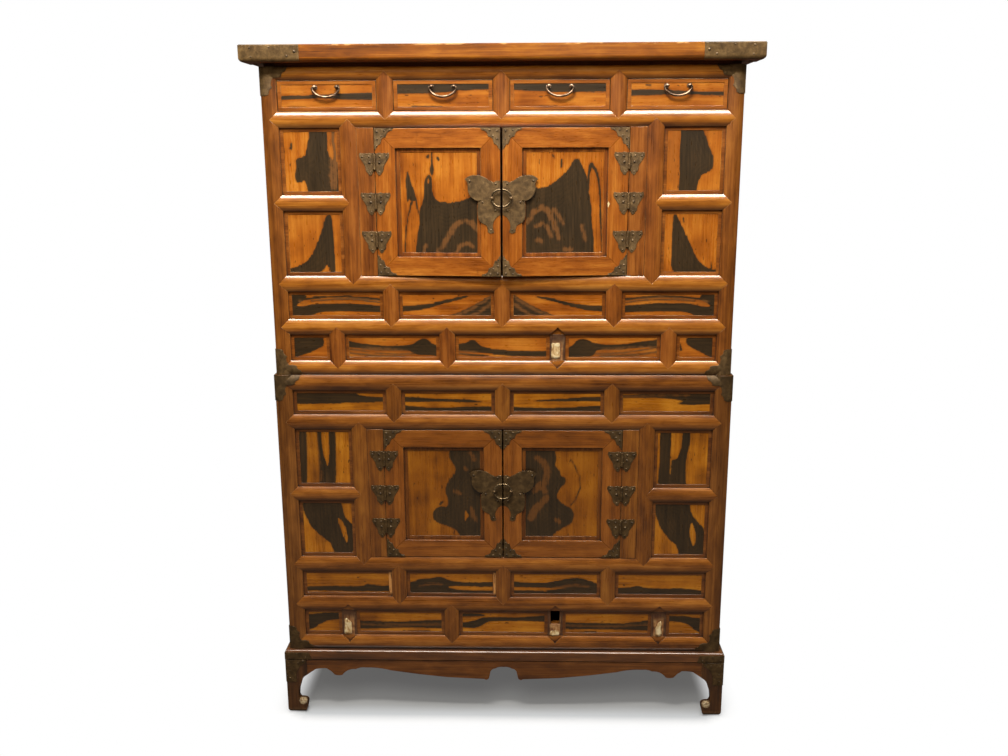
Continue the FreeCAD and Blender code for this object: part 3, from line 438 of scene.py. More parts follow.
bevel_highlight_strips = ((-0.2588, -0.2512), (-0.0222, -0.0165))
lower_board = Finish("lower_board_wood", {"Coat Weight": 0.3, "Coat Roughness": 0.2})
x, y, z = axes(lower_board)
colour, height = board_tone(lower_board, 0, (tint(74, 38, 11), tint(112, 62, 19), tint(146, 88, 32)))
# Painted highlight: two ragged pale strips, for light off the board bevels beside two slips.
bevel_highlight = 0.0
for low, high in bevel_highlight_strips:
    bevel_highlight = within(lower_board, x, low, high, 0.0005) + bevel_highlight
ragged = cloud(lower_board, (300.0, 300.0, 60.0), 3.0)
bevel_highlight = bevel_highlight * within(lower_board, z, 0.294, 0.345, 0.003) * span(lower_board, ragged, 0.34, 0.44)
colour = mixed(lower_board, bevel_highlight * 0.9, colour, tint(226, 160, 92))
dress(varnished(lower_board, colour, height - bevel_highlight, lower_grime_and_shade, lower_bare), "lower_panels")

# The field of every board carries a leaf of figured persimmon: amber sapwood crossed by the black
# heart of the tree. Neighbouring leaves are cut from one block and opened like a book, so the dark
# shapes face each other across the middle of the chest. Rows run with the grain across, doors and
# side boards with the grain upright.
leaf_thick = 0.0005
leaf_step = 0.0021


def shape_depth(shapes, x, z):
    """How far each point lies inside the nearest shape, in millimetres, and less than 0 outside all."""
    depth = np.full(x.shape, -200.0)
    for shape in shapes:
        if len(shape[0]) == 3:
            line = np.array(shape, float)
            near = np.full(x.shape, -200.0)
            for (x0, z0, half0), (x1, z1, half1) in zip(line[:-1], line[1:]):
                run = max((x1 - x0) ** 2 + (z1 - z0) ** 2, 0.001)
                share = np.clip(((x - x0) * (x1 - x0) + (z - z0) * (z1 - z0)) / run, 0, 1)
                gap = np.hypot(x - x0 - share * (x1 - x0), z - z0 - share * (z1 - z0))
                near = np.maximum(near, half0 + (half1 - half0) * share - gap)
            depth = np.maximum(depth, near)
            continue
        ring = smooth_ring(shape)
        gap = np.full(x.shape, 400.0)
        inside = np.zeros(x.shape, bool)
        for (x0, z0), (x1, z1) in zip(ring, np.roll(ring, -1, axis=0)):
            run = max((x1 - x0) ** 2 + (z1 - z0) ** 2, 0.001)
            share = np.clip(((x - x0) * (x1 - x0) + (z - z0) * (z1 - z0)) / run, 0, 1)
            gap = np.minimum(gap, np.hypot(x - x0 - share * (x1 - x0), z - z0 - share * (z1 - z0)))
            crosses = ((z0 > z) != (z1 > z)) & (x < (x1 - x0) * (z - z0) / ((z1 - z0) or 0.001) + x0)
            inside ^= crosses
        depth = np.maximum(depth, np.where(inside, gap, -gap))
    return depth


def run_out(shape, x0, x1, z0, z1):
    """The same shape with the points beyond the rim of the leaf moved further out."""
    if len(shape[0]) == 3:
        return shape
    past = 4.0
    moved = []
    for x, z in shape:
        near_x, near_z = min(max(x, x0), x1), min(max(z, z0), z1)
        moved.append((near_x + (x - near_x) * past, near_z + (z - near_z) * past))
    return moved


def figured(name, along, ground, heart, glow, grime_and_shade_colour):
    """The finish of a leaf: amber with rings that follow the dark heart, and streaks inside the dark."""
    finish = Finish(name, {"Coat Weight": 0.35, "Coat Roughness": 0.14, "Specular IOR Level": 0.45})
    depth = finish.add("ShaderNodeAttribute", {"attribute_name": "heart"}, {}, "Fac")
    ember = finish.add("ShaderNodeAttribute", {"attribute_name": "ember"}, {}, "Fac")
    streaks = grown(finish, along, 13.0, 330.0, 4.0)
    bands = grown(finish, along, 3.2, 60.0, 4.0, 1.0)
    waver = cloud(finish, (110.0, 110.0, 110.0), 4.0)
    soft = cloud(finish, (16.0, 16.0, 16.0), 4.0)
    edge = depth + (streaks - 0.5) * 7.0 + (waver - 0.5) * 3.0
    dark = span(finish, edge, -0.55, 0.55)
    rings = finish.add("ShaderNodeMath", {"operation": "SINE"}, {0: depth * 0.8 + bands * 14.0})
    near = span(finish, depth, -14.0, 0.0)
    tone = bands * 0.38 + soft * 0.46 + streaks * 0.16 + rings * near * 0.012
    amber = finish.add("ShaderNodeValToRGB", {"stops": [(0.36, ground[0]), (0.50, ground[1]),
                                                        (0.66, ground[2])]},
                       {0: tone})
    halo = span(finish, edge, -3.0, -0.2) * (1.0 - dark)
    amber = mixed(finish, halo * 0.55, amber, ground[0])
    specks = span(finish, grown(finish, along, 60.0, 420.0, 3.0), 0.63, 0.70)
    flecks = span(finish, grown(finish, along, 60.0, 190.0, 3.0), 0.675, 0.72)
    amber = mixed(finish, specks * 0.35, amber, ground[0])
    amber = mixed(finish, flecks * 0.75, amber, grime_and_shade_colour)
    black = finish.add("ShaderNodeValToRGB", {"stops": [(0.34, heart[0]), (0.52, heart[1]),
                                                        (0.72, heart[2])]},
                       {0: streaks * 0.55 + soft * 0.30 + bands * 0.15 + rings * 0.03})
    warm = span(finish, ember + (streaks - 0.5) * 2.0 + (waver - 0.5) * 1.6, 0.35, 1.15) * ember * 0.85
    black = mixed(finish, warm, black, glow)
    colour = mixed(finish, dark, amber, black)
    colour = mixed(finish, ember * (1.0 - dark) * 0.25, colour, glow)
    height = streaks * 0.5 + specks * -0.5 + dark * 0.25
    return varnished(finish, colour, height, grime_and_shade_colour, ground[2], 0.33, 0.2, 0.55)


# The lower hearts and glow are darker partly as painted shade for the dimmer light low down.
upper_heart = (tint(42, 31, 17), tint(59, 44, 25), tint(80, 58, 33))
lower_heart = (tint(38, 27, 13), tint(54, 39, 20), tint(76, 53, 26))
glow_upper = tint(126, 82, 42)
glow_lower = tint(108, 66, 26)
leaf_finishes = {
    ("upper", 0): figured("upper_row_leaf", 0, upper_ground, upper_heart, glow_upper, upper_grime_and_shade),
    ("upper", 2): figured("upper_tall_leaf", 2, upper_ground, upper_heart, glow_upper, upper_grime_and_shade),
    ("lower", 0): figured("lower_row_leaf", 0, lower_ground, lower_heart, glow_lower, lower_grime_and_shade),
    ("lower", 2): figured("lower_tall_leaf", 2, lower_ground, lower_heart, glow_lower, lower_grime_and_shade),
    ("lower_door", 2): figured("lower_door_figure", 2, lower_door_ground, lower_heart, glow_lower,
                               lower_grime_and_shade),
}


def swung(points, hinge):
    """The same points, in metres, on a door that stands ajar by the angle of its hinge."""
    pivot_x, pivot_y, angle = hinge
    turn = Matrix.Rotation(math.radians(angle), 3, "Z")
    pivot = Vector((pivot_x, pivot_y, 0))
    return np.array([turn @ (Vector(point) - pivot) + pivot for point in points])


def leaf(name, tier, along, x0, x1, z0, z1, plane, body, darks, islands=(), embers=(), hinge=None):
    """A thin leaf on the field between x0, x1, z0 and z1 millimetres, its outer face towards -Y."""
    wide = max(4, round((x1 - x0) / 1000 / leaf_step))
    tall = max(4, round((z1 - z0) / 1000 / leaf_step))
    x, z = np.meshgrid(np.linspace(x0, x1, wide + 1), np.linspace(z0, z1, tall + 1))
    x, z = x.ravel(), z.ravel()
    darks = [run_out(shape, x0, x1, z0, z1) for shape in darks]
    depth = shape_depth(darks, x, z)
    if islands:
        depth = np.minimum(depth, -shape_depth(islands, x, z))
    ember = np.zeros(x.shape)
    if embers:
        ember = np.exp(-np.square(np.minimum(shape_depth(embers, x, z) - 1.5, 0) / 6.0))
    count = len(x)
    front = np.stack([x, np.full(count, plane * 1000 - leaf_thick * 1000), z], 1)
    rim = []
    for column in range(wide):
        rim.append(column)
    for row in range(tall):
        rim.append(row * (wide + 1) + wide)
    for column in range(wide, 0, -1):
        rim.append(tall * (wide + 1) + column)
    for row in range(tall, 0, -1):
        rim.append(row * (wide + 1))
    back = front[rim].copy()
    back[:, 1] = plane * 1000
    points = np.concatenate([front, back]) / 1000
    faces = []
    for row in range(tall):
        for column in range(wide):
            first = row * (wide + 1) + column
            faces.append((first, first + 1, first + wide + 2, first + wide + 1))
    for index, near in enumerate(rim):
        after = (index + 1) % len(rim)
        faces.append((near, count + index, count + after, rim[after]))
    if hinge:
        points = swung(points, hinge)
    piece = mesh_object(name, points, faces, leaf_finishes[(tier, along)], False)
    for label, values in (("heart", depth), ("ember", ember)):
        attribute = piece.data.attributes.new(label, "FLOAT", "POINT")
        attribute.data.foreach_set("value", np.concatenate([values, values[rim]]).astype(np.float32))
    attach(piece, body)
    "door_wood" if "door" in name else "panel_wood"


def flipped(shapes):
    """The same shapes seen in the other leaf of the book."""
    return [[(-point[0],) + tuple(point[1:]) for point in shape] for shape in shapes]


border = 7.5
upper_low_row, upper_mid_row = (833.3, 890.3), (923.3, 982.3)
lower_high_row, lower_mid_row, lower_low_row = (715.0, 769.0), (288.0, 350.0), (192.0, 254.0)
four_row = ((-453.0, -251.25), (-218.25, -16.5), (16.5, 218.25), (251.25, 453.0))
five_row = ((-453.0, -368.6), (-335.6, -133.9), (-100.9, 100.9), (133.9, 335.6), (368.6, 453.0))
upper_field = -0.2085
lower_field = -0.2135

# upper case, the row of five
rows = {
    "upper_low_1": ([[(-450, 884), (-384, 884), (-381, 868), (-390, 860), (-408, 852), (-430, 844),
                      (-452, 838)]], [], []),
    "upper_low_2": ([[(-334, 878), (-320, 874), (-300, 869), (-260, 865), (-220, 864), (-192, 868),
                      (-182, 876), (-171, 881), (-160, 879), (-151, 870), (-141, 865), (-134, 866),
                      (-134, 842), (-185, 844), (-196, 855), (-250, 853), (-290, 856), (-334, 866)],
                     [(-330, 859, 1.6), (-280, 850, 1.6), (-230, 846, 1.5), (-190, 848, 1.2)],
                     [(-330, 850, 1.8), (-280, 843, 2.2), (-210, 841, 2.2)]],
                    [], [[(-330, 862), (-200, 856), (-192, 840), (-330, 840)]]),
    "upper_low_3": ([[(-101, 868), (-84, 868), (-74, 874), (-62, 878), (-53, 872), (-44, 863), (-22, 858),
                      (10, 855), (50, 853), (101, 855), (101, 841), (40, 842), (0, 845), (-30, 848),
                      (-60, 851), (-101, 854)],
                     [(-101, 849, 2.5), (-70, 846, 2.0), (-30, 842, 1.0)]],
                    [], [[(-101, 855), (-60, 852), (-50, 848), (-101, 846)]]),
    "upper_low_4": ([[(134, 858), (143, 862), (152, 868), (158, 877), (168, 881), (181, 879), (191, 871),
                      (220, 867), (260, 869), (300, 875), (336, 882), (336, 868), (290, 860), (250, 856),
                      (200, 857), (196, 846), (185, 842), (134, 840)],
                     [(330, 862, 1.6), (280, 853, 1.6), (230, 848, 1.5), (190, 848, 1.2)],
                     [(330, 852, 1.8), (280, 845, 2.2), (210, 842, 2.2)]],
                    [], [[(330, 866), (205, 858), (196, 840), (330, 840)]]),
    "upper_low_5": ([[(392, 883), (389, 873), (396, 864), (410, 857), (426, 850), (440, 841), (454, 838),
                      (454, 884),
                      (400, 884)], [(378, 868, 1.5), (380, 856, 1.8)]], [], []),
}
for (name, (darks, islands, embers)), (x0, x1) in zip(rows.items(), five_row):
    low_z, high_z = upper_low_row[0] + border, upper_low_row[1] - border
    leaf(name + "_leaf", "upper", 0, x0 + border, x1 - border, low_z, high_z,
         upper_field, "upper_case", darks, islands, embers)

# upper case, the row of four: bands in the outer leaves, a fan of stripes in the two by the middle
outer_band = [[(-454, 978), (-428, 976), (-411, 970), (-424, 961), (-440, 950), (-424, 949), (-400, 955),
               (-360, 957), (-320, 957), (-290, 953), (-252, 951), (-252, 937), (-300, 938), (-350, 940),
               (-388, 938), (-404, 932), (-416, 929), (-454, 929)],
              [(-424, 965, 2.6), (-385, 969, 2.2), (-330, 971, 2.2), (-252, 964, 2.4)],
              [(-405, 961, 1.2), (-360, 965, 1.5), (-310, 965, 1.5), (-252, 957, 1.2)]]
outer_glow = [[(-436, 964), (-410, 960), (-424, 950)], [(-400, 963, 1.2), (-330, 968, 1.5), (-260, 960, 1.2)]]
fan = [[(-220, 950), (-185, 951), (-150, 956), (-110, 966), (-86, 971), (-66, 973), (-80, 967), (-110, 959),
        (-150, 948), (-185, 940), (-220, 938)],
       [(-128, 929), (-100, 934), (-70, 947), (-46, 960), (-30, 972), (-15, 978), (-15, 929)]]
fan_glow = [[(-100, 929, 1.6), (-70, 942, 1.6), (-40, 960, 1.8), (-26, 970, 1.6)],
            [(-66, 929, 1.6), (-45, 940, 1.8), (-22, 958, 1.8)]]
fours = (("upper_mid_1", outer_band, outer_glow), ("upper_mid_2", fan, fan_glow),
         ("upper_mid_3", flipped(fan), flipped(fan_glow)),
         ("upper_mid_4", flipped(outer_band), flipped(outer_glow)))
for (name, darks, embers), (x0, x1) in zip(fours, four_row):
    low_z, high_z = upper_mid_row[0] + border, upper_mid_row[1] - border
    leaf(name + "_leaf", "upper", 0, x0 + border, x1 - border, low_z, high_z,
         upper_field, "upper_case", darks, (), embers)

# upper case, the four boards beside the doors
side_in, side_out = 329.0, 453.0
upper_sides = {
    "upper_side_1": (-1, 1015.3, 1149.8,
                     [[(-366, 1140), (-360, 1142), (-352, 1139), (-351, 1080), (-351, 1018), (-361, 1022),
                       (-364, 1034), (-369, 1038), (-376, 1028), (-386, 1022), (-400, 1021), (-450, 1021),
                       (-447, 1028), (-430, 1034), (-411, 1044), (-396, 1062), (-386, 1085),
                       (-374, 1112)]], [], []),
    "upper_side_2": (-1, 1181.8, 1316.3,
                     [[(-392, 1313), (-392, 1300), (-398, 1282), (-401, 1266), (-405, 1259), (-424, 1255),
                       (-421, 1240), (-426, 1222), (-423, 1205), (-413, 1209), (-407, 1213), (-401, 1201),
                       (-398, 1183), (-330, 1183), (-330, 1240), (-341, 1250), (-350, 1255), (-357, 1270),
                       (-355, 1292), (-357, 1313)],
                      [(-343, 1312, 2.5), (-345, 1290, 3.0), (-341, 1268, 2.5), (-343, 1250, 3.0)],
                      [(-431, 1284, 2.2), (-432, 1276, 2.6)]], [],
                     [[(-352, 1300), (-338, 1310), (-337, 1190), (-356, 1200), (-350, 1250)]]),
    "upper_side_3": (1, 1015.3, 1149.8,
                     [[(353, 1139), (357, 1142), (362, 1138), (369, 1122), (379, 1103), (389, 1084),
                       (399, 1061), (410, 1044), (422, 1033), (440, 1027), (454, 1026), (454, 1018),
                       (353, 1018), (353, 1080)],
                      [(374, 1133, 1.3), (376, 1126, 1.5)], [(436, 1042, 1.2), (437, 1030, 1.4)]], [], []),
    "upper_side_4": (1, 1181.8, 1316.3,
                     [[(362, 1314), (400, 1312), (410, 1303), (416, 1290), (420, 1275), (428, 1263),
                       (431, 1246), (429, 1232), (419, 1225), (407, 1221), (402, 1206), (398, 1190),
                       (398, 1184), (361, 1184), (363, 1230), (360, 1270), (362, 1292)]], [],
                     [[(352, 1312, 2.0), (350, 1270, 2.6), (352, 1230, 2.0), (354, 1195, 2.0)],
                      [(343, 1290, 1.5), (344, 1250, 2.0), (346, 1210, 1.5)]]),
}
for name, (side, z0, z1, darks, islands, embers) in upper_sides.items():
    x0, x1 = sorted((side * side_in, side * side_out))
    leaf(name + "_leaf", "upper", 2, x0 + border, x1 - border, z0 + border, z1 - border, upper_field,
         "upper_case", darks, islands, embers)

# lower case, the top row of four
crown_fours = {
    "lower_high_1": ([[(-454, 762), (-335, 763), (-305, 757), (-280, 753), (-252, 752), (-252, 743),
                       (-300, 741), (-340, 740), (-380, 737),
                       (-454, 738)]], []),
    "lower_high_2": ([[(-219, 753), (-185, 753), (-150, 750), (-110, 750), (-80, 748), (-38, 744), (-60, 742),
                       (-110, 743), (-219, 743)],
                      [(-219, 737), (-190, 731), (-130, 729), (-80, 731), (-45, 733), (-16, 732), (-16, 720),
                       (-219, 720)]], []),
    "lower_high_3": ([[(56, 744), (100, 748), (150, 751), (190, 754), (219, 754), (219, 745), (150, 745),
                       (100, 743)],
                      [(16, 732), (80, 730), (130, 730), (180, 733), (219, 735), (219, 720), (16, 720)]], []),
    "lower_high_4": ([[(251, 757), (300, 760), (345, 765), (454, 765), (454, 739), (420, 738), (392, 737),
                       (372, 740), (392, 744), (380, 748), (350, 752), (310, 754), (251, 752)]],
                     [[(262, 756, 1.5), (330, 759, 2.0), (400, 758, 1.5)]]),
}
for (name, (darks, embers)), (x0, x1) in zip(crown_fours.items(), four_row):
    low_z, high_z = lower_high_row[0] + border, lower_high_row[1] - border
    leaf(name + "_leaf", "lower", 0, x0 + border, x1 - border, low_z, high_z,
         lower_field, "lower_case", darks, (), embers)

# lower case, the boards beside the doors
lower_sides = {
    "lower_side_1": (-1, 385.0, 517.5,
                     [[(-446, 512), (-360, 512), (-357, 492), (-352, 476), (-341, 464), (-336, 460),
                       (-336, 390), (-378, 390), (-384, 412), (-400, 425), (-415, 438), (-430, 455),
                       (-438, 475), (-444, 488)]],
                     [[(-369, 476), (-361, 471), (-353, 456), (-348, 430), (-350, 412), (-357, 428),
                       (-364, 450)]], []),
    "lower_side_2": (-1, 549.5, 682.0,
                     [[(-446, 680), (-428, 680), (-430, 620), (-434, 552), (-446, 552)],
                      [(-408, 680), (-396, 680), (-396, 640), (-391, 612), (-386, 590), (-382, 612),
                       (-380, 680), (-364, 680), (-367, 620), (-370, 552), (-408, 552), (-404, 600)]], [],
                     [[(-428, 678), (-404, 678), (-402, 600), (-398, 554), (-432, 554), (-428, 620)]]),
    "lower_side_3": (1, 385.0, 517.5,
                     [[(336, 512), (412, 512), (413, 498), (420, 484), (430, 468), (446, 456), (448, 390),
                       (394, 390), (388, 412), (372, 425), (358, 440), (345, 465), (337, 490)]],
                     [[(416, 470), (423, 458), (429, 430), (425, 408), (418, 420), (413, 446)]], []),
    "lower_side_4": (1, 549.5, 682.0,
                     [[(340, 680), (366, 680), (366, 640), (368, 612), (373, 613), (381, 618), (386, 632),
                       (388, 650), (391, 680), (406, 680), (406, 650), (401, 620), (399, 590), (402, 552),
                       (339, 552), (343, 610)]],
                     [[(367, 640, 1.0), (367, 600, 1.0), (366, 580, 1.4)]], []),
}
for name, (side, z0, z1, darks, islands, embers) in lower_sides.items():
    x0, x1 = sorted((side * side_in, side * side_out))
    leaf(name + "_leaf", "lower", 2, x0 + border, x1 - border, z0 + border, z1 - border, lower_field,
         "lower_case", darks, islands, embers)

# lower case, the row of four under the doors
lower_fours = {
    "lower_mid_1": ([[(-454, 306), (-430, 309), (-350, 310), (-314, 311), (-308, 318), (-300, 313),
                      (-252, 313), (-252, 299), (-350, 298), (-400, 299),
                      (-454, 298)]], []),
    "lower_mid_2": ([[(-219, 292), (-219, 308), (-203, 322), (-190, 328), (-162, 331), (-146, 335),
                      (-134, 332), (-122, 325), (-90, 321), (-60, 321), (-16, 324), (-16, 311), (-60, 311),
                      (-100, 313), (-128, 311), (-115, 304), (-80, 301), (-50, 301), (-16, 303), (-16, 292)]],
                    [[(-190, 312, 1.2), (-160, 317, 1.4), (-140, 315, 1.2)]]),
    "lower_mid_3": ([[(16, 326), (60, 322), (100, 322), (120, 326), (140, 332), (165, 335), (185, 331),
                      (205, 321), (219, 312), (219, 292), (16, 292), (16, 303), (80, 301), (120, 305),
                      (150, 311), (120, 310), (90, 309),
                      (16, 311)]], [[(190, 312, 1.2), (160, 317, 1.4), (120, 309, 1.2)]]),
    "lower_mid_4": ([[(251, 310), (290, 311), (298, 315), (305, 315), (311, 311), (350, 309), (400, 309),
                      (430, 307), (454, 301), (454, 291), (400, 294),
                      (251, 296)]], []),
}
for (name, (darks, embers)), (x0, x1) in zip(lower_fours.items(), four_row):
    low_z, high_z = lower_mid_row[0] + border, lower_mid_row[1] - border
    leaf(name + "_leaf", "lower", 0, x0 + border, x1 - border, low_z, high_z,
         lower_field, "lower_case", darks, (), embers)

# lower case, the row of five at its foot
lower_fives = {
    "lower_low_1": ([[(-454, 238), (-432, 241), (-402, 245), (-368, 244), (-368, 232), (-400, 226),
                      (-415, 220), (-428, 210), (-440, 202),
                      (-454, 202)]], []),
    "lower_low_2": ([[(-336, 226), (-300, 224), (-250, 223), (-200, 225), (-150, 227), (-133, 225),
                      (-133, 207), (-200, 208), (-250, 208), (-300, 206), (-336, 205)],
                     [(-218, 200, 1.4), (-170, 199, 1.6)]],
                    [[(-330, 216, 1.4), (-240, 215, 1.6), (-140, 217, 1.4)]]),
    "lower_low_3": ([[(-101, 221), (-80, 224), (-65, 229), (-50, 234), (-20, 237), (30, 236), (60, 238),
                      (101, 242), (101, 226), (50, 227), (0, 227), (-35, 225), (-48, 216), (-60, 209),
                      (-78, 207), (-101, 214)],
                     [(-101, 244), (-60, 245), (-38, 240), (-60, 237), (-101, 236)]], []),
    "lower_low_4": ([[(133, 226), (180, 224), (230, 222), (280, 223), (300, 226), (336, 236), (336, 204),
                      (300, 206), (250, 208), (200, 208), (133, 207)],
                     [(150, 200, 1.4), (210, 201, 1.6)]],
                    [[(140, 216, 1.4), (240, 215, 1.6), (330, 220, 1.4)]]),
    "lower_low_5": ([[(368, 241), (400, 242), (420, 240), (440, 238), (454, 232), (454, 198), (438, 203),
                      (430, 212), (418, 222), (405, 228),
                      (368, 231)]], []),
}
for (name, (darks, embers)), (x0, x1) in zip(lower_fives.items(), five_row):
    low_z, high_z = lower_low_row[0] + border, lower_low_row[1] - border
    leaf(name + "_leaf", "lower", 0, x0 + border, x1 - border, low_z, high_z,
         lower_field, "lower_case", darks, (), embers)

# Sides and backs are plain framed boards, oiled but never polished like the front. Floors, decks and
# guides are dry pale softwood that has only darkened with age.
# The lower sides are darker partly as painted shade for the dimmer light low down.
side_tones = {"upper": (tint(92, 42, 14), tint(140, 74, 26), tint(172, 102, 44)),
              "lower": (tint(74, 34, 12), tint(116, 62, 24), tint(148, 88, 38))}
side_rail_shoulder = 0.005

for tier in ("upper", "lower"):
    side_wood = Finish(tier + "_side_wood", {"Coat Weight": 0.2, "Coat Roughness": 0.3})
    x, y, z = axes(side_wood)
    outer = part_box(tier + "_sides")[1].x
    on_rail = abs(x) > outer - side_rail_shoulder
    upright, upright_height = board_tone(side_wood, 2, side_tones[tier])
    level, level_height = board_tone(side_wood, 1, side_tones[tier])
    colour = mixed(side_wood, on_rail, upright, level)
    height = upright_height * (1.0 - on_rail) + level_height * on_rail
    dress(varnished(side_wood, colour, height, grime_and_shade_colours[tier], bares[tier], 0.45), tier + "_sides")

dress(timber("back_wood", 2, (tint(84, 54, 30), tint(124, 86, 52), tint(158, 118, 76)), tint(48, 30, 18),
             tint(196, 160, 112), 0.62, 0.0), "upper_back", "lower_back")
dress(timber("inner_wood", 0, (tint(124, 88, 52), tint(168, 128, 84), tint(200, 164, 116)), tint(70, 46, 28),
             tint(216, 186, 140), 0.66, 0.0), "upper_bottom", "lower_bottom", "lower_top")
dress(timber("deck_wood", 1, (tint(124, 88, 52), tint(168, 128, 84), tint(200, 164, 116)), tint(70, 46, 28),
             tint(216, 186, 140), 0.66, 0.0), "upper_drawer_carcass")

# The top is one wide board with a rounded under edge, its corners bound in sheet iron. Hands, dust and
# knocks have dulled its face and chipped its front edge, and the case under it is closed by a thin
# board that stays dark in its shade.


def iron_look(finish, deep, mid, high):
    """Colour, roughness and height of old sheet iron: brown skin, darker pits, brighter rubbed places, and
    painted shade with dirt in the corners.
    """
    skin = cloud(finish, (90.0, 90.0, 90.0), 5.0, 0.4)
    grit = cloud(finish, (480.0, 480.0, 480.0), 3.0)
    pits = span(finish, grit, 0.60, 0.72)
    eased, edge = rounded_edges(finish, 0.0009)
    shut = 1.0 - openness(finish, 0.004)
    colour = finish.add("ShaderNodeValToRGB", {"stops": [(0.30, deep), (0.50, mid), (0.72, high)]},
                        {0: skin * 0.7 + grit * 0.3})
    colour = mixed(finish, pits * 0.45, colour, deep)
    colour = mixed(finish, edge * span(finish, skin, 0.40, 0.58) * 0.7, colour, high)
    # Painted shade with dirt: darker in corners and round the nail heads, found by occlusion.
    colour = mixed(finish, span(finish, shut, 0.25, 0.8) * 0.7, colour, deep)
    rough = skin * 0.2 + pits * 0.2 - edge * 0.08 + 0.42
    return colour, rough, skin * 0.3 + grit * 0.35 - pits * 0.5, eased


# The lower tones are darker partly as painted shade for the dimmer light low down.
iron_tones = {"upper": (tint(64, 47, 25), tint(97, 74, 43), tint(130, 103, 64)),
              "lower": (tint(54, 40, 20), tint(80, 60, 33), tint(110, 86, 52))}


def sheet_iron(name, tones):
    finish = Finish(name, {"Metallic": 0.35, "Specular IOR Level": 0.4})
    colour, rough, height, eased = iron_look(finish, *tones)
    bump = finish.add("ShaderNodeBump", {}, {"Strength": 0.5, "Distance": 0.0005, "Height": height,
                                             "Normal": eased})
    finish.feed(finish.shader, {"Base Color": colour, "Roughness": rough, "Normal": bump})
    return finish.material


top_tones = (tint(88, 44, 5), tint(140, 77, 10), tint(180, 112, 26))
top_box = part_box("upper_top_board")
ceiling_line = 1.4425
band_long, band_side = 0.118, 0.060

top_wood = Finish("top_board", {"Coat Weight": 0.08, "Coat Roughness": 0.22, "Specular IOR Level": 0.25})
x, y, z = axes(top_wood)
wood_colour, wood_height = board_tone(top_wood, 0, top_tones)
chips = cloud(top_wood, (34.0, 90.0, 90.0), 4.0)
front_edge = (1.0 - span(top_wood, y, top_box[0].y + 0.002, top_box[0].y + 0.006)) * span(top_wood, z, 1.4700,
                                                                                          1.4738)
chipped = front_edge * span(top_wood, chips, 0.50, 0.60)
wood_colour = mixed(top_wood, chipped * 0.9, wood_colour, tint(232, 176, 112))
under = 1.0 - span(top_wood, z, ceiling_line - 0.0005, ceiling_line + 0.0005)
wood_colour = mixed(top_wood, under * 0.8, wood_colour, tint(150, 80, 40))
iron_colour, _, iron_height, _ = iron_look(top_wood, *iron_tones["upper"])
from_end = top_box[1].x - abs(x)
skin = ((y < top_box[0].y + 0.0205) * (from_end < band_long + 0.002)).most(from_end < 0.0205)
lip = (z > 1.47405).most(z < 1.44175)
near_front = y < top_box[0].y + 0.0210
near_back = y > top_box[1].y - 0.0210
near_end = from_end < 0.0210
by_corner = (y < top_box[0].y + band_side + 0.002).most(y > top_box[1].y - band_side - 0.002)
banded = skin.most(lip * near_end * by_corner)
banded = banded.most(lip * near_front.most(near_back) * (from_end < band_long + 0.002)) * (z > 1.4415)
banded = banded * ((y < top_box[0].y + band_side + 0.0015).most(y > top_box[1].y - band_side - 0.0015))
colour = mixed(top_wood, banded, wood_colour, iron_colour)
height = wood_height * (1.0 - banded) + iron_height * banded
dress(varnished(top_wood, colour, height, upper_grime_and_shade, upper_bare, 0.40, 0.5), "upper_top_board")

# The doors are mitred frames, each round one board that sits in a groove and shows a narrow border.
# The amber wood has darkened least here, where it was wiped most often; a fresh chip shows on the
# right upper door.
# The lower doors are darker partly as painted shade for the dimmer light low down.
door_tones = {"upper": (tint(122, 62, 14), tint(168, 92, 24), tint(202, 126, 44)),
              "lower": (tint(92, 48, 10), tint(134, 74, 16), tint(164, 98, 32))}
door_board_tones = {"upper": (tint(88, 42, 12), tint(136, 72, 20), tint(178, 106, 38)),
                    "lower": (tint(74, 38, 9), tint(110, 60, 15), tint(144, 86, 30))}
door_rows = {"upper": (1015.3, 1316.3), "lower": (385.0, 682.0)}
door_flat = {"upper": -216.0, "lower": -221.0}
door_ajar = {"upper": 4.8, "lower": 0.0}
door_edge, door_meeting = 259.0, 1.6
hinge_stile, meeting_stile, door_rail, door_clear = 42.0, 40.0, 39.0, 1.5
door_border = 8.5
door_field_sink = 7.5
hinge_x, hinge_knuckle = 259.5, 3.0
fresh_chip = (0.2185, 1.1625)

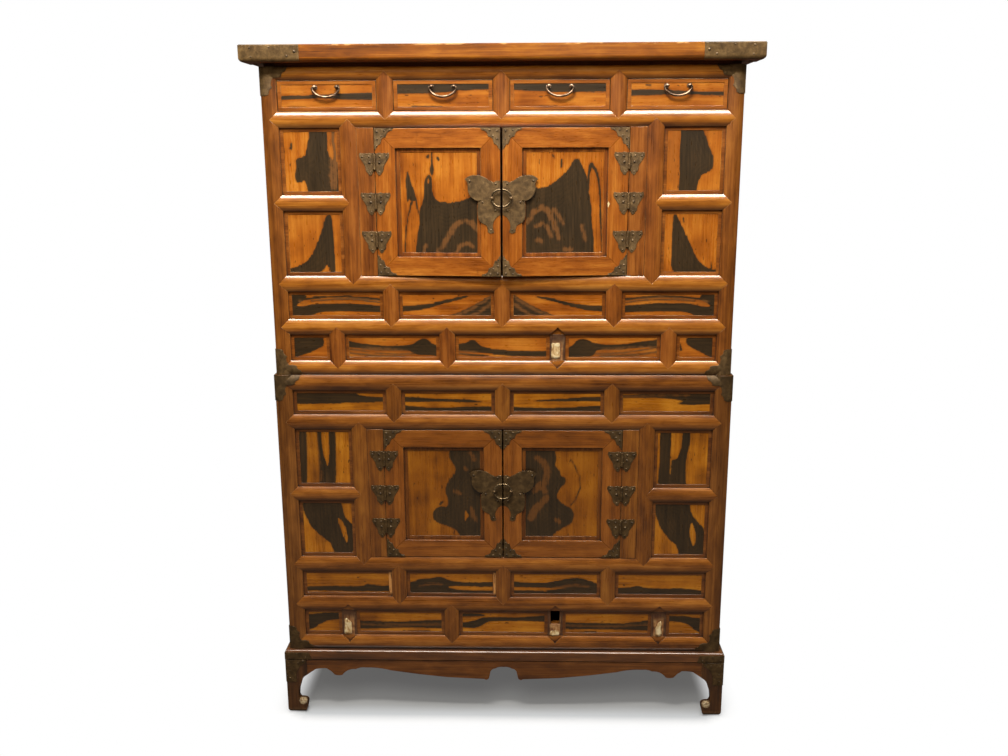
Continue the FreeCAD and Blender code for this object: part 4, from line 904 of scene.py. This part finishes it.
door_figures = {
    "upper_left": (
        [[(-186, 1050), (-178, 1085), (-171, 1122), (-171, 1150), (-164, 1165), (-159, 1185), (-159, 1210),
          (-152, 1220), (-147, 1225), (-143, 1216), (-142, 1190), (-137, 1173), (-126, 1167), (-115, 1168),
          (-109, 1165), (-95, 1168), (-80, 1170), (-70, 1176), (-60, 1180), (-46, 1178), (-46, 1050)],
         [(-148, 1232), (-143, 1246), (-138, 1238), (-139, 1226), (-142, 1219), (-146, 1225)],
         [(-142, 1270, 1.2), (-142, 1244, 1.2)],
         [(-193, 1232), (-189, 1216), (-184, 1198), (-178, 1184), (-176, 1169), (-182, 1171), (-188, 1166),
          (-190, 1176), (-195, 1163), (-196, 1186), (-198, 1206), (-196, 1220)],
         [(-178, 1174, 2.0), (-173, 1150, 1.3), (-169, 1132, 1.4)],
         [(-186, 1168, 2.0), (-193, 1145, 1.6), (-198, 1120, 1.6), (-201, 1090, 1.5), (-203, 1055, 1.6)],
         [(-150, 1260, 2.6), (-151, 1258, 2.6)], [(-130, 1256, 1.6), (-128, 1252, 1.2)]],
        [[(-154, 1212), (-149, 1218), (-148, 1208), (-152, 1202)]],
        [[(-132, 1064, 3.5), (-116, 1090, 3.5), (-98, 1118, 4.5), (-82, 1129, 4.0), (-62, 1126, 4.0),
          (-50, 1112, 3.0)],
         [(-96, 1062, 2.0), (-86, 1078, 2.5), (-72, 1084, 2.0), (-60, 1078, 2.0)],
         [(-164, 1062, 2.0), (-160, 1074, 2.5), (-158, 1080, 1.5)]]),
    "upper_right": (
        [[(46, 1050), (46, 1186), (56, 1195), (70, 1198), (78, 1194), (90, 1197), (110, 1208), (120, 1218),
          (135, 1230), (145, 1248), (152, 1256), (160, 1249), (170, 1229), (177, 1210), (178, 1192),
          (184, 1165), (186, 1130), (190, 1095), (194, 1050)],
         [(178, 1190, 1.5), (178, 1220, 1.8), (183, 1243, 3.0), (192, 1231, 2.6), (198, 1214, 1.6),
          (203, 1170, 1.5), (205, 1110, 1.5), (209, 1055, 1.6)],
         [(122, 1252, 1.4), (122, 1238, 1.6)], [(104, 1262, 1.2), (106, 1256, 1.0)]],
        [],
        [[(54, 1128, 3.0), (66, 1148, 4.5), (84, 1158, 4.0), (98, 1146, 4.0), (110, 1116, 4.0),
          (118, 1094, 2.5)],
         [(107, 1152, 2.5), (116, 1142, 2.5), (126, 1124, 2.0)],
         [(70, 1118, 2.0), (84, 1125, 3.0), (96, 1112, 3.0), (103, 1098, 2.0)],
         [(74, 1092, 3.0), (82, 1088, 3.0)], [(165, 1118, 2.0), (173, 1088, 1.8)],
         [(132, 1070, 4.0), (142, 1070, 4.0)]]),
    "lower_left": (
        [[(-113, 640), (-46, 640), (-46, 430), (-92, 430), (-100, 445), (-118, 455), (-140, 462), (-153, 470),
          (-157, 481), (-152, 496), (-138, 504), (-123, 500), (-121, 520), (-128, 540), (-123, 556),
          (-112, 572), (-103, 584), (-104, 597), (-114, 609), (-118, 622)],
         [(-140, 508, 2.0), (-133, 514, 1.2)]],
        [[(-86, 472), (-85, 492), (-81, 494), (-76, 480), (-80, 474), (-84, 468)]],
        [[(-70, 500, 2.0), (-66, 482, 3.0), (-60, 470, 2.0)], [(-84, 592, 2.5), (-80, 588, 2.0)],
         [(-108, 538, 2.0), (-94, 534, 2.5)], [(-70, 628, 3.0), (-62, 612, 3.0)]]),
    "lower_right": (
        [[(46, 640), (105, 640), (116, 624), (118, 612), (113, 600), (122, 590), (128, 575), (137, 571),
          (138, 561), (128, 548), (119, 535), (121, 520), (131, 509), (149, 501), (157, 489), (156, 475),
          (151, 465), (135, 455), (115, 443), (100, 430), (46, 430)],
         [(150, 612, 0.9), (168, 575, 1.1), (170, 548, 1.1), (160, 520, 1.1), (150, 507, 1.0)]],
        [],
        [[(62, 478, 7.0), (72, 498, 7.0), (86, 512, 5.0), (96, 524, 5.0)],
         [(92, 560, 6.0), (98, 585, 6.0), (90, 606, 5.0), (74, 616, 4.0)],
         [(70, 540, 5.0), (84, 556, 6.0), (92, 540, 5.0)], [(118, 472, 3.0), (124, 468, 3.0)]]),
}

for tier in ("upper", "lower"):
    z0, z1 = door_rows[tier][0] + door_clear, door_rows[tier][1] - door_clear
    flat = door_flat[tier]
    for hand, side in (("left", -1), ("right", 1)):
        name = tier + "_" + hand
        low_x, high_x = sorted((side * door_meeting, side * door_edge))
        frame_wood = Finish(name + "_door_frame", {"Coat Weight": 0.4, "Coat Roughness": 0.14})
        x, y, z = axes(frame_wood)
        from_side = (x - low_x / 1000).least(high_x / 1000 - x)
        from_end = (z - z0 / 1000).least(z1 / 1000 - z)
        on_rail = from_end < from_side
        upright, upright_height = board_tone(frame_wood, 2, door_tones[tier])
        level, level_height = board_tone(frame_wood, 0, door_tones[tier])
        colour = mixed(frame_wood, on_rail, upright, level)
        height = upright_height * (1.0 - on_rail) + level_height * on_rail
        seam = 1.0 - span(frame_wood, abs(from_end - from_side), 0.0004, 0.0011)
        colour = mixed(frame_wood, seam * 0.4, colour, grime_and_shade_colours[tier])
        knots = span(frame_wood, cloud(frame_wood, (42.0, 42.0, 28.0), 2.0), 0.70, 0.78)
        colour = mixed(frame_wood, knots * 0.6, colour, door_tones[tier][0])
        if name == "upper_right":
            off_chip = abs(x - fresh_chip[0]) * 2.2 + abs(z - fresh_chip[1])
            ragged = cloud(frame_wood, (400.0, 400.0, 400.0), 2.0)
            chip = 1.0 - span(frame_wood, off_chip + ragged * 0.004, 0.0070, 0.0085)
            colour = mixed(frame_wood, chip, colour, tint(250, 226, 170))
        dress(varnished(frame_wood, colour, height - seam * 0.8, grime_and_shade_colours[tier], bares[tier], 0.30),
              name + "_door_frame")
        dress(timber(name + "_door_board", 2, door_board_tones[tier], grime_and_shade_colours[tier], bares[tier], 0.32, 0.35),
              name + "_door_panel")
        inner_x, outer_x = door_meeting + meeting_stile + door_border, door_edge - hinge_stile - door_border
        low_x, high_x = sorted((side * inner_x, side * outer_x))
        darks, islands, embers = door_figures[name]
        hinge = (side * hinge_x / 1000, (flat - hinge_knuckle) / 1000, side * door_ajar[tier])
        kind = "lower_door" if tier == "lower" else tier
        low_z, high_z = z0 + door_rail + door_border, z1 - door_rail - door_border
        leaf(name + "_door_leaf", kind, 2, low_x, high_x, low_z, high_z, (flat + door_field_sink) / 1000,
             name + "_door", darks, islands, embers, hinge)

# Four drawers run under the top. Each front is one board with the same narrow border and a figured
# leaf in its field, over a dry pale box nailed together behind it.
drawer_figures = (
    [[(-460, 1379), (-420, 1380), (-398, 1379), (-393, 1380), (-350, 1381), (-320, 1383), (-244, 1385),
      (-244, 1368), (-300, 1371), (-350, 1374), (-400, 1373), (-460, 1370)],
     [(-436, 1402, 1.0), (-398, 1402, 1.2)], [(-300, 1402, 1.0), (-270, 1403, 1.2)],
     [(-430, 1357, 1.0), (-396, 1356, 1.4)]],
    [[(-224, 1399), (-150, 1401), (-80, 1401), (-10, 1400), (-10, 1390), (-70, 1388), (-110, 1385),
      (-150, 1382), (-224, 1381)], [(-180, 1357, 1.0), (-120, 1356, 1.4)]],
    [[(10, 1400), (100, 1401), (224, 1399), (224, 1384), (150, 1383), (100, 1385), (60, 1387), (10, 1391)],
     [(40, 1357, 1.2), (110, 1356, 1.4)]],
    [[(244, 1389), (330, 1387), (380, 1384), (420, 1383), (460, 1383), (460, 1377), (400, 1377), (350, 1379),
      (244, 1375)], [(290, 1397, 1.6), (298, 1396, 1.4)]],
)
drawer_border = 8.0
drawer_gap_shade = 2.4
drawer_tones = (tint(112, 57, 10), tint(160, 88, 18), tint(198, 122, 36))
drawer_gap = 0.8
drawer_field = -0.2125
drawer_foot, drawer_head = 1348.6, 1408.5

for index, ((x0, x1), darks) in enumerate(zip(four_row, drawer_figures), 1):
    name = "drawer_" + str(index)
    front_wood = Finish(name + "_front_wood", {"Coat Weight": 0.5, "Coat Roughness": 0.13})
    x, y, z = axes(front_wood)
    colour, height = board_tone(front_wood, 0, drawer_tones)
    rim = 0.001 * drawer_gap_shade
    from_foot, from_head = z - drawer_foot / 1000, drawer_head / 1000 - z
    edge_gap = (x - 0.001 * x0).least(0.001 * x1 - x).least(from_foot.least(from_head))
    # Painted shade: each front darkens in a narrow band along its edges, for the shade in the gap round the
    # drawer.
    colour = mixed(front_wood, (1.0 - span(front_wood, edge_gap, rim * 0.3, rim)) * 0.8, colour, upper_grime_and_shade)
    dress(varnished(front_wood, colour, height, upper_grime_and_shade, upper_bare, 0.32), name + "_front")
    leaf(name + "_leaf", "upper", 0, x0 + drawer_gap + drawer_border, x1 - drawer_gap - drawer_border,
         drawer_foot + drawer_border, drawer_head - drawer_border, drawer_field, name, darks)
drawer_box_wood = timber("drawer_box_wood", 1, (tint(140, 104, 64), tint(184, 146, 98), tint(212, 180, 132)),
                         tint(80, 54, 32), tint(226, 198, 154), 0.66, 0.0)
dress(drawer_box_wood, *[name for name in nodes if name.startswith("drawer_") and name.endswith("_box")])

# All the plates are thin wrought sheet, cut to butterflies and scalloped corners and left matt brown.
# The plates of the lower case are darker, partly with more dirt and partly as painted shade for the dimmer
# light low down.
dress(sheet_iron("upper_iron", iron_tones["upper"]), "upper_irons", "upper_left_door_irons",
      "upper_right_door_irons")
dress(sheet_iron("lower_iron", iron_tones["lower"]), "lower_irons", "stand_irons", "lower_left_door_irons",
      "lower_right_door_irons")
dress(sheet_iron("handle_iron", (tint(40, 35, 27), tint(70, 62, 47), tint(120, 108, 82))),
      *[name for name in nodes if name.endswith("_handle")])

# Pulls and rings are cast in a yellow metal, brown in their hollows and bright along the bow where
# fingers take hold.


def cast_metal(name, deep, mid, high, rough):
    finish = Finish(name, {"Metallic": 0.85})
    skin = cloud(finish, (90.0, 90.0, 90.0), 3.0)
    shut = 1.0 - openness(finish, 0.008)
    colour = finish.add("ShaderNodeValToRGB", {"stops": [(0.28, deep), (0.48, mid), (0.70, high)]},
                        {0: skin - shut * 0.25})
    bump = finish.add("ShaderNodeBump", {}, {"Strength": 0.15, "Distance": 0.0002, "Height": skin})
    finish.feed(finish.shader, {"Base Color": colour, "Roughness": skin * 0.2 + shut * 0.2 + rough,
                                "Normal": bump})
    return finish.material


pull_metal = cast_metal("pull_metal", tint(66, 52, 40), tint(108, 88, 70), tint(158, 134, 112), 0.26)
ring_metal = cast_metal("ring_metal", tint(62, 52, 36), tint(102, 86, 63), tint(146, 127, 98), 0.26)
dress(pull_metal, *[name for name in nodes if name.startswith("drawer_") and name.endswith("_posts")])


def eased_line(points, steps):
    """A smooth line through points, as a smith's eye draws it, with so many steps between two points."""
    ends = [2 * points[0] - points[1], *points, 2 * points[-1] - points[-2]]
    line = []
    for before, start, stop, after in zip(ends, ends[1:], ends[2:], ends[3:]):
        for step in range(steps):
            share = step / steps
            line.append(start + 0.5 * share * (stop - before + share * (
                2 * before - 5 * start + 4 * stop - after + share * (3 * start - before - 3 * stop + after))))
    return line + [ends[-2]]


def bent_rod(name, line, thick, material, body, node):
    """A round rod bent in an upright plane. thick is its radius at each point of its line, in millimetres."""
    sides = 14
    count = len(line)
    points, faces = [], []
    for index, place in enumerate(line):
        ahead = line[min(index + 1, count - 1)] - line[max(index - 1, 0)]
        ahead /= np.linalg.norm(ahead)
        across = np.array((0.0, 1.0, 0.0))
        out = np.cross(ahead, across)
        out /= np.linalg.norm(out)
        across = np.cross(out, ahead)
        for side in range(sides):
            angle = 2 * math.pi * side / sides
            points.append(place + (math.cos(angle) * out + math.sin(angle) * across) * thick[index])
    for index in range(count - 1):
        for side in range(sides):
            after = (side + 1) % sides
            faces.append((index * sides + side, index * sides + after, (index + 1) * sides + after,
                          (index + 1) * sides + side))
    for index, way in ((0, -1), (count - 1, 1)):
        tip = len(points)
        ahead = line[index] - line[index - way]
        points.append(line[index] + ahead / np.linalg.norm(ahead) * thick[index] * 0.45)
        for side in range(sides):
            faces.append((index * sides + side, index * sides + (side + way) % sides, tip))
    rod = mesh_object(name, np.array(points) / 1000, faces, material)
    mesh = rod.data
    mesh.validate()
    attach(rod, body)
    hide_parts(node)


# A bow goes in through one ball, hangs in a shallow curve and goes in through the other. It is
# thickest at the middle of its curve.
bow_rod = 2.5
bow_half = [(0.0, -19.4), (9.0, -18.4), (17.5, -15.2), (24.0, -9.9), (27.0, -4.6), (26.2, -0.9), (22.5, 0.0),
            (18.2, 0.0)]

for index in range(1, 5):
    node = "drawer_" + str(index) + "_bail"
    low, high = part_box(node)
    level = high.z * 1000 - bow_rod
    middle_x, middle_y = (low.x + high.x) * 500, (low.y + high.y) * 500
    half = [np.array((middle_x + x, middle_y, level + z)) for x, z in bow_half]
    other = [np.array((middle_x - x, middle_y, level + z)) for x, z in bow_half[:0:-1]]
    line = eased_line(other + half, 8)
    thick = [1.9 + 0.6 * min(1.0, max(0.0, (level - place[2]) / 15.0)) for place in line]
    bent_rod("drawer_" + str(index) + "_bow", line, thick, pull_metal, node, node)

# Each lock has a ring in two halves, one to a door, that turn in their staples like a page and lie
# against the plate.
ring_radius, ring_rod, ring_out = 16.8, 2.1, 9.2
ring_place_share = 0.535
ring_reach = 0.6

for tier in ("upper", "lower"):
    z0, z1 = door_rows[tier]
    level = z0 + (z1 - z0) * ring_place_share
    for hand, side in (("left", -1), ("right", 1)):
        name = tier + "_" + hand
        line = []
        for step in range(37):
            angle = math.pi * (step / 36 - 0.5)
            line.append((side * (door_meeting + ring_radius * math.cos(angle)),
                         level + ring_radius * math.sin(angle)))
        line = [(line[0][0] - side * ring_reach, line[0][1])] + line + [(line[-1][0] - side * ring_reach,
                                                                         line[-1][1])]
        turn = math.radians(side * door_ajar[tier])
        pivot_x, pivot_y = side * hinge_x, door_flat[tier] - hinge_knuckle
        placed = []
        for x, z in line:
            from_x, from_y = x - pivot_x, door_flat[tier] - ring_out - pivot_y
            placed.append(np.array((pivot_x + from_x * math.cos(turn) - from_y * math.sin(turn),
                                    pivot_y + from_x * math.sin(turn) + from_y * math.cos(turn), z)))
        bent_rod(name + "_half_ring", placed, [ring_rod] * len(placed), ring_metal, name + "_ring",
                 name + "_door_ring")

# Every plate is held by hand made nails with domed heads: three or four to a hinge leaf, five to a
# corner plate, more on the lock plates, bands and corner irons.
nail_profile = ((1.0, 0.0), (0.96, 0.30), (0.78, 0.66), (0.44, 0.92))
nail_sides = 10


def nail_heads(name, body, places, finish, hinge=None):
    """Domed heads in one piece, facing the front. A place is x, y, z and a radius, in millimetres."""
    points, faces = [], []
    for order, (x, y, z, radius) in enumerate(places):
        height = radius * 0.75
        first = len(points)
        for out, up in nail_profile:
            for step in range(nail_sides):
                angle = 2 * math.pi * step / nail_sides
                uneven = 1 + 0.05 * math.sin(order * 2.1 + step * 1.9)
                across = math.cos(angle) * radius * out * uneven
                along = math.sin(angle) * radius * out * uneven
                points.append((x + across, y - up * height, z + along))
        points.append((x, y - height, z))
        for layer in range(len(nail_profile) - 1):
            for step in range(nail_sides):
                after = (step + 1) % nail_sides
                low, high = first + layer * nail_sides, first + (layer + 1) * nail_sides
                faces.append((low + step, low + after, high + after, high + step))
        last = first + (len(nail_profile) - 1) * nail_sides
        faces += [(last + step, last + (step + 1) % nail_sides,
                   len(points) - 1) for step in range(nail_sides)]
        faces.append(tuple(first + step for step in reversed(range(nail_sides))))
    points = np.array(points) / 1000
    if hinge:
        points = swung(points, hinge)
    piece = mesh_object(name, points, faces, finish)
    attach(piece, body)


# The lower nails are darker partly as painted shade for the dimmer light low down.
nail_iron = {tier: sheet_iron(tier + "_nail_iron", (tint(40, 30, 20), body, tint(150, 124, 88)))
             for tier, body in (("upper", tint(88, 70, 46)), ("lower", tint(68, 53, 34)))}
plate = 1.2
hinge_height, hinge_reach = 46.0, 31.0
hinge_places = (0.235, 0.495, 0.76)
leaf_nails = ((0.81, -0.17, 2.3), (0.36, -0.17, 2.3), (0.33, -0.43, 2.8), (0.31, -0.85, 1.8))
corner_size = (40.0, 43.0)
corner_nails = ((0.15, -0.14, 2.4), (0.52, -0.11, 2.1), (0.80, -0.07, 1.6), (0.36, -0.36, 2.1),
                (0.14, -0.50, 2.2),
                (0.12, -0.80, 1.8))
lock_size = (72.6, 114.0)
lock_nails = ((0.86, 0.30, 2.6), (0.50, -0.075, 2.4), (0.27, -0.565, 2.0), (0.13, 0.25, 2.4),
              (0.14, -0.22, 2.2))

for tier in ("upper", "lower"):
    z0, z1 = door_rows[tier]
    flat = door_flat[tier]
    face = flat - plate + 0.1
    ring_z = z0 + (z1 - z0) * ring_place_share
    case_places = []
    for hand, side in (("left", -1), ("right", 1)):
        places = []
        for share in hinge_places:
            top = z0 + (z1 - z0) * share + hinge_height / 2
            for out, down, radius in leaf_nails:
                where_z = top + down * hinge_height
                places.append((side * (hinge_x - out * hinge_reach), face, where_z, radius))
                case_places.append((side * (hinge_x + out * hinge_reach), face, where_z, radius))
        wide, tall = corner_size
        for corner_x, way in ((door_edge, -1), (door_meeting, 1)):
            for corner_z, down in ((z1 - door_clear, 1), (z0 + door_clear, -1)):
                for out, drop, radius in corner_nails:
                    places.append((side * (corner_x + way * out * wide), face, corner_z + down * drop * tall,
                                   radius))
        for out, up, radius in lock_nails:
            places.append((side * (door_meeting + out * lock_size[0]), face, ring_z + up * lock_size[1],
                           radius))
        hinge = (side * hinge_x / 1000, (flat - hinge_knuckle) / 1000, side * door_ajar[tier])
        nail_heads(tier + "_" + hand + "_door_nails", tier + "_" + hand + "_door", places, nail_iron[tier],
                   hinge)
    nail_heads(tier + "_hinge_nails", tier + "_case", case_places, nail_iron[tier])

band_end, band_face, band_foot = 515.0, -251.05, 1442.3
band_nails = []
for side in (-1, 1):
    for out, up, radius in ((22, 26, 2.5), (24, 9, 2.0), (60, 27, 1.8), (95, 10, 2.3), (110, 18, 3.0)):
        band_nails.append((side * (band_end - out), band_face, band_foot + up, radius))
nail_heads("top_band_nails", "upper_case", band_nails, nail_iron["upper"])

stand_end, stand_face = 500.0, -233.0 - plate + 0.1
stand_nails = []
for side in (-1, 1):
    for out, up in ((7, 140.5), (26, 149.5), (48, 140.5)):
        stand_nails.append((side * (stand_end - out), stand_face, up + 1.5, 1.8))
    for out, up in ((7, 128), (28, 129), (40, 131), (9, 108), (8, 90)):
        stand_nails.append((side * (stand_end - out), stand_face, up, 1.7))
nail_heads("stand_nails", "lower_case", stand_nails, nail_iron["lower"])

# The chest stands on a pale floor against white. Seen straight, the floor carries a painted shadow: it is
# greyer and without glow under the chest, and glows to white away from it. For every other ray it is dark
# and warm. Three soft lamps light only colour, and a long one over the front is seen only in the gloss.
floor_half = 9.0
shade_half, shade_front = 0.46, 0.235
floor_points = [(-floor_half, -floor_half, 0), (floor_half, -floor_half, 0), (floor_half, floor_half, 0),
                (-floor_half, floor_half, 0)]
floor_finish = Finish("pale_floor", {"Roughness": 0.9, "Specular IOR Level": 0.0})
x, y, z = axes(floor_finish)
seen = floor_finish.add("ShaderNodeLightPath", {}, {}, "Is Camera Ray")
beside = (abs(x) - shade_half).most(0.0)
before = (0.0 - y - shade_front).most(0.0)
# Painted shadow: a darker camera colour and less glow under and just beside the chest.
away_from_painted_shadow = span(floor_finish, before + beside * 0.55, -0.012, 0.055)
floor_with_painted_shadow = mixed(floor_finish, away_from_painted_shadow, (0.48, 0.51, 0.55, 1.0), (0.88, 0.89, 0.91, 1.0))
floor_finish.feed(floor_finish.shader, {"Base Color": mixed(floor_finish, seen, (0.14, 0.12, 0.10, 1.0),
                                                            floor_with_painted_shadow)})
glow = floor_finish.nodes.new("ShaderNodeEmission")
glow.inputs["Strength"].default_value = 1.0
share = floor_finish.nodes.new("ShaderNodeMixShader")
surface = floor_finish.nodes["Material Output"]
floor_finish.links.new((seen * (away_from_painted_shadow * 0.97 + 0.03)).socket, share.inputs[0])
floor_finish.links.new(floor_finish.shader.outputs[0], share.inputs[1])
floor_finish.links.new(glow.outputs[0], share.inputs[2])
floor_finish.links.new(share.outputs[0], surface.inputs["Surface"])
floor = mesh_object("floor", floor_points, [(0, 1, 2, 3)], floor_finish.material, False)

world = bpy.data.worlds.new("soft_room")
bpy.context.scene.world = world
world.use_nodes = True
room = world.node_tree
room.nodes.clear()
ray = room.nodes.new("ShaderNodeLightPath")
soft = room.nodes.new("ShaderNodeBackground")
soft.inputs["Color"].default_value = (1.0, 0.84, 0.62, 1.0)
soft.inputs["Strength"].default_value = 0.09
white = room.nodes.new("ShaderNodeBackground")
white.inputs["Color"].default_value = (1.0, 1.0, 1.0, 1.0)
white.inputs["Strength"].default_value = 1.0
either = room.nodes.new("ShaderNodeMixShader")
sky = room.nodes.new("ShaderNodeOutputWorld")
room.links.new(ray.outputs["Is Camera Ray"], either.inputs[0])
room.links.new(soft.outputs[0], either.inputs[1])
room.links.new(white.outputs[0], either.inputs[2])
room.links.new(either.outputs[0], sky.inputs["Surface"])


def soft_lamp(name, place, target, width, height, watts, colour, shines, fills):
    lamp = bpy.data.lights.new(name, "AREA")
    lamp.shape = "RECTANGLE"
    lamp.size = width
    lamp.size_y = height
    lamp.energy = watts
    lamp.color = colour
    holder = bpy.data.objects.new(name, lamp)
    bpy.context.scene.collection.objects.link(holder)
    holder.location = place
    holder.rotation_euler = (Vector(target) - Vector(place)).to_track_quat("-Z", "Y").to_euler()
    holder.visible_glossy = shines
    holder.visible_diffuse = fills


soft_lamp("front", (-0.2, -2.3, 2.35), (0.0, 0.0, 1.15), 1.5, 1.0, 22.0, (1.0, 0.94, 0.83), False, True)
soft_lamp("overhead", (-0.15, -1.30, 2.40), (0.0, -0.22, 0.9), 0.6, 0.25, 28.0, (1.0, 0.94, 0.83), False,
          True)
soft_lamp("strip", (0.0, -1.05, 2.35), (0.0, -0.22, 0.9), 2.0, 0.50, 118.0, (1.0, 0.92, 0.82), True, False)
soft_lamp("above", (0.0, -0.3, 4.6), (0.0, 0.0, 0.0), 3.4, 3.0, 240.0, (1.0, 1.0, 1.0), False, True)

camera_data = bpy.data.cameras.new("camera")
camera_data.sensor_width = 36.0
camera_data.lens = 34.325
camera = bpy.data.objects.new("camera", camera_data)
bpy.context.scene.collection.objects.link(camera)
yaw, tilt, roll = math.radians(-1.336), math.radians(13.222), math.radians(-0.2151)
ahead = Vector((math.sin(yaw) * math.cos(tilt), math.cos(yaw) * math.cos(tilt), -math.sin(tilt)))
level_right = Vector((math.cos(yaw), -math.sin(yaw), 0.0))
level_up = level_right.cross(ahead)
right = math.cos(roll) * level_right + math.sin(roll) * level_up
up = -math.sin(roll) * level_right + math.cos(roll) * level_up
camera.matrix_world = Matrix.Translation((0.050, -2.220, 1.267)) @ Matrix((right, up,
                                                                           -ahead)).transposed().to_4x4()
bpy.context.scene.camera = camera
bpy.context.scene.view_settings.view_transform = "Standard"
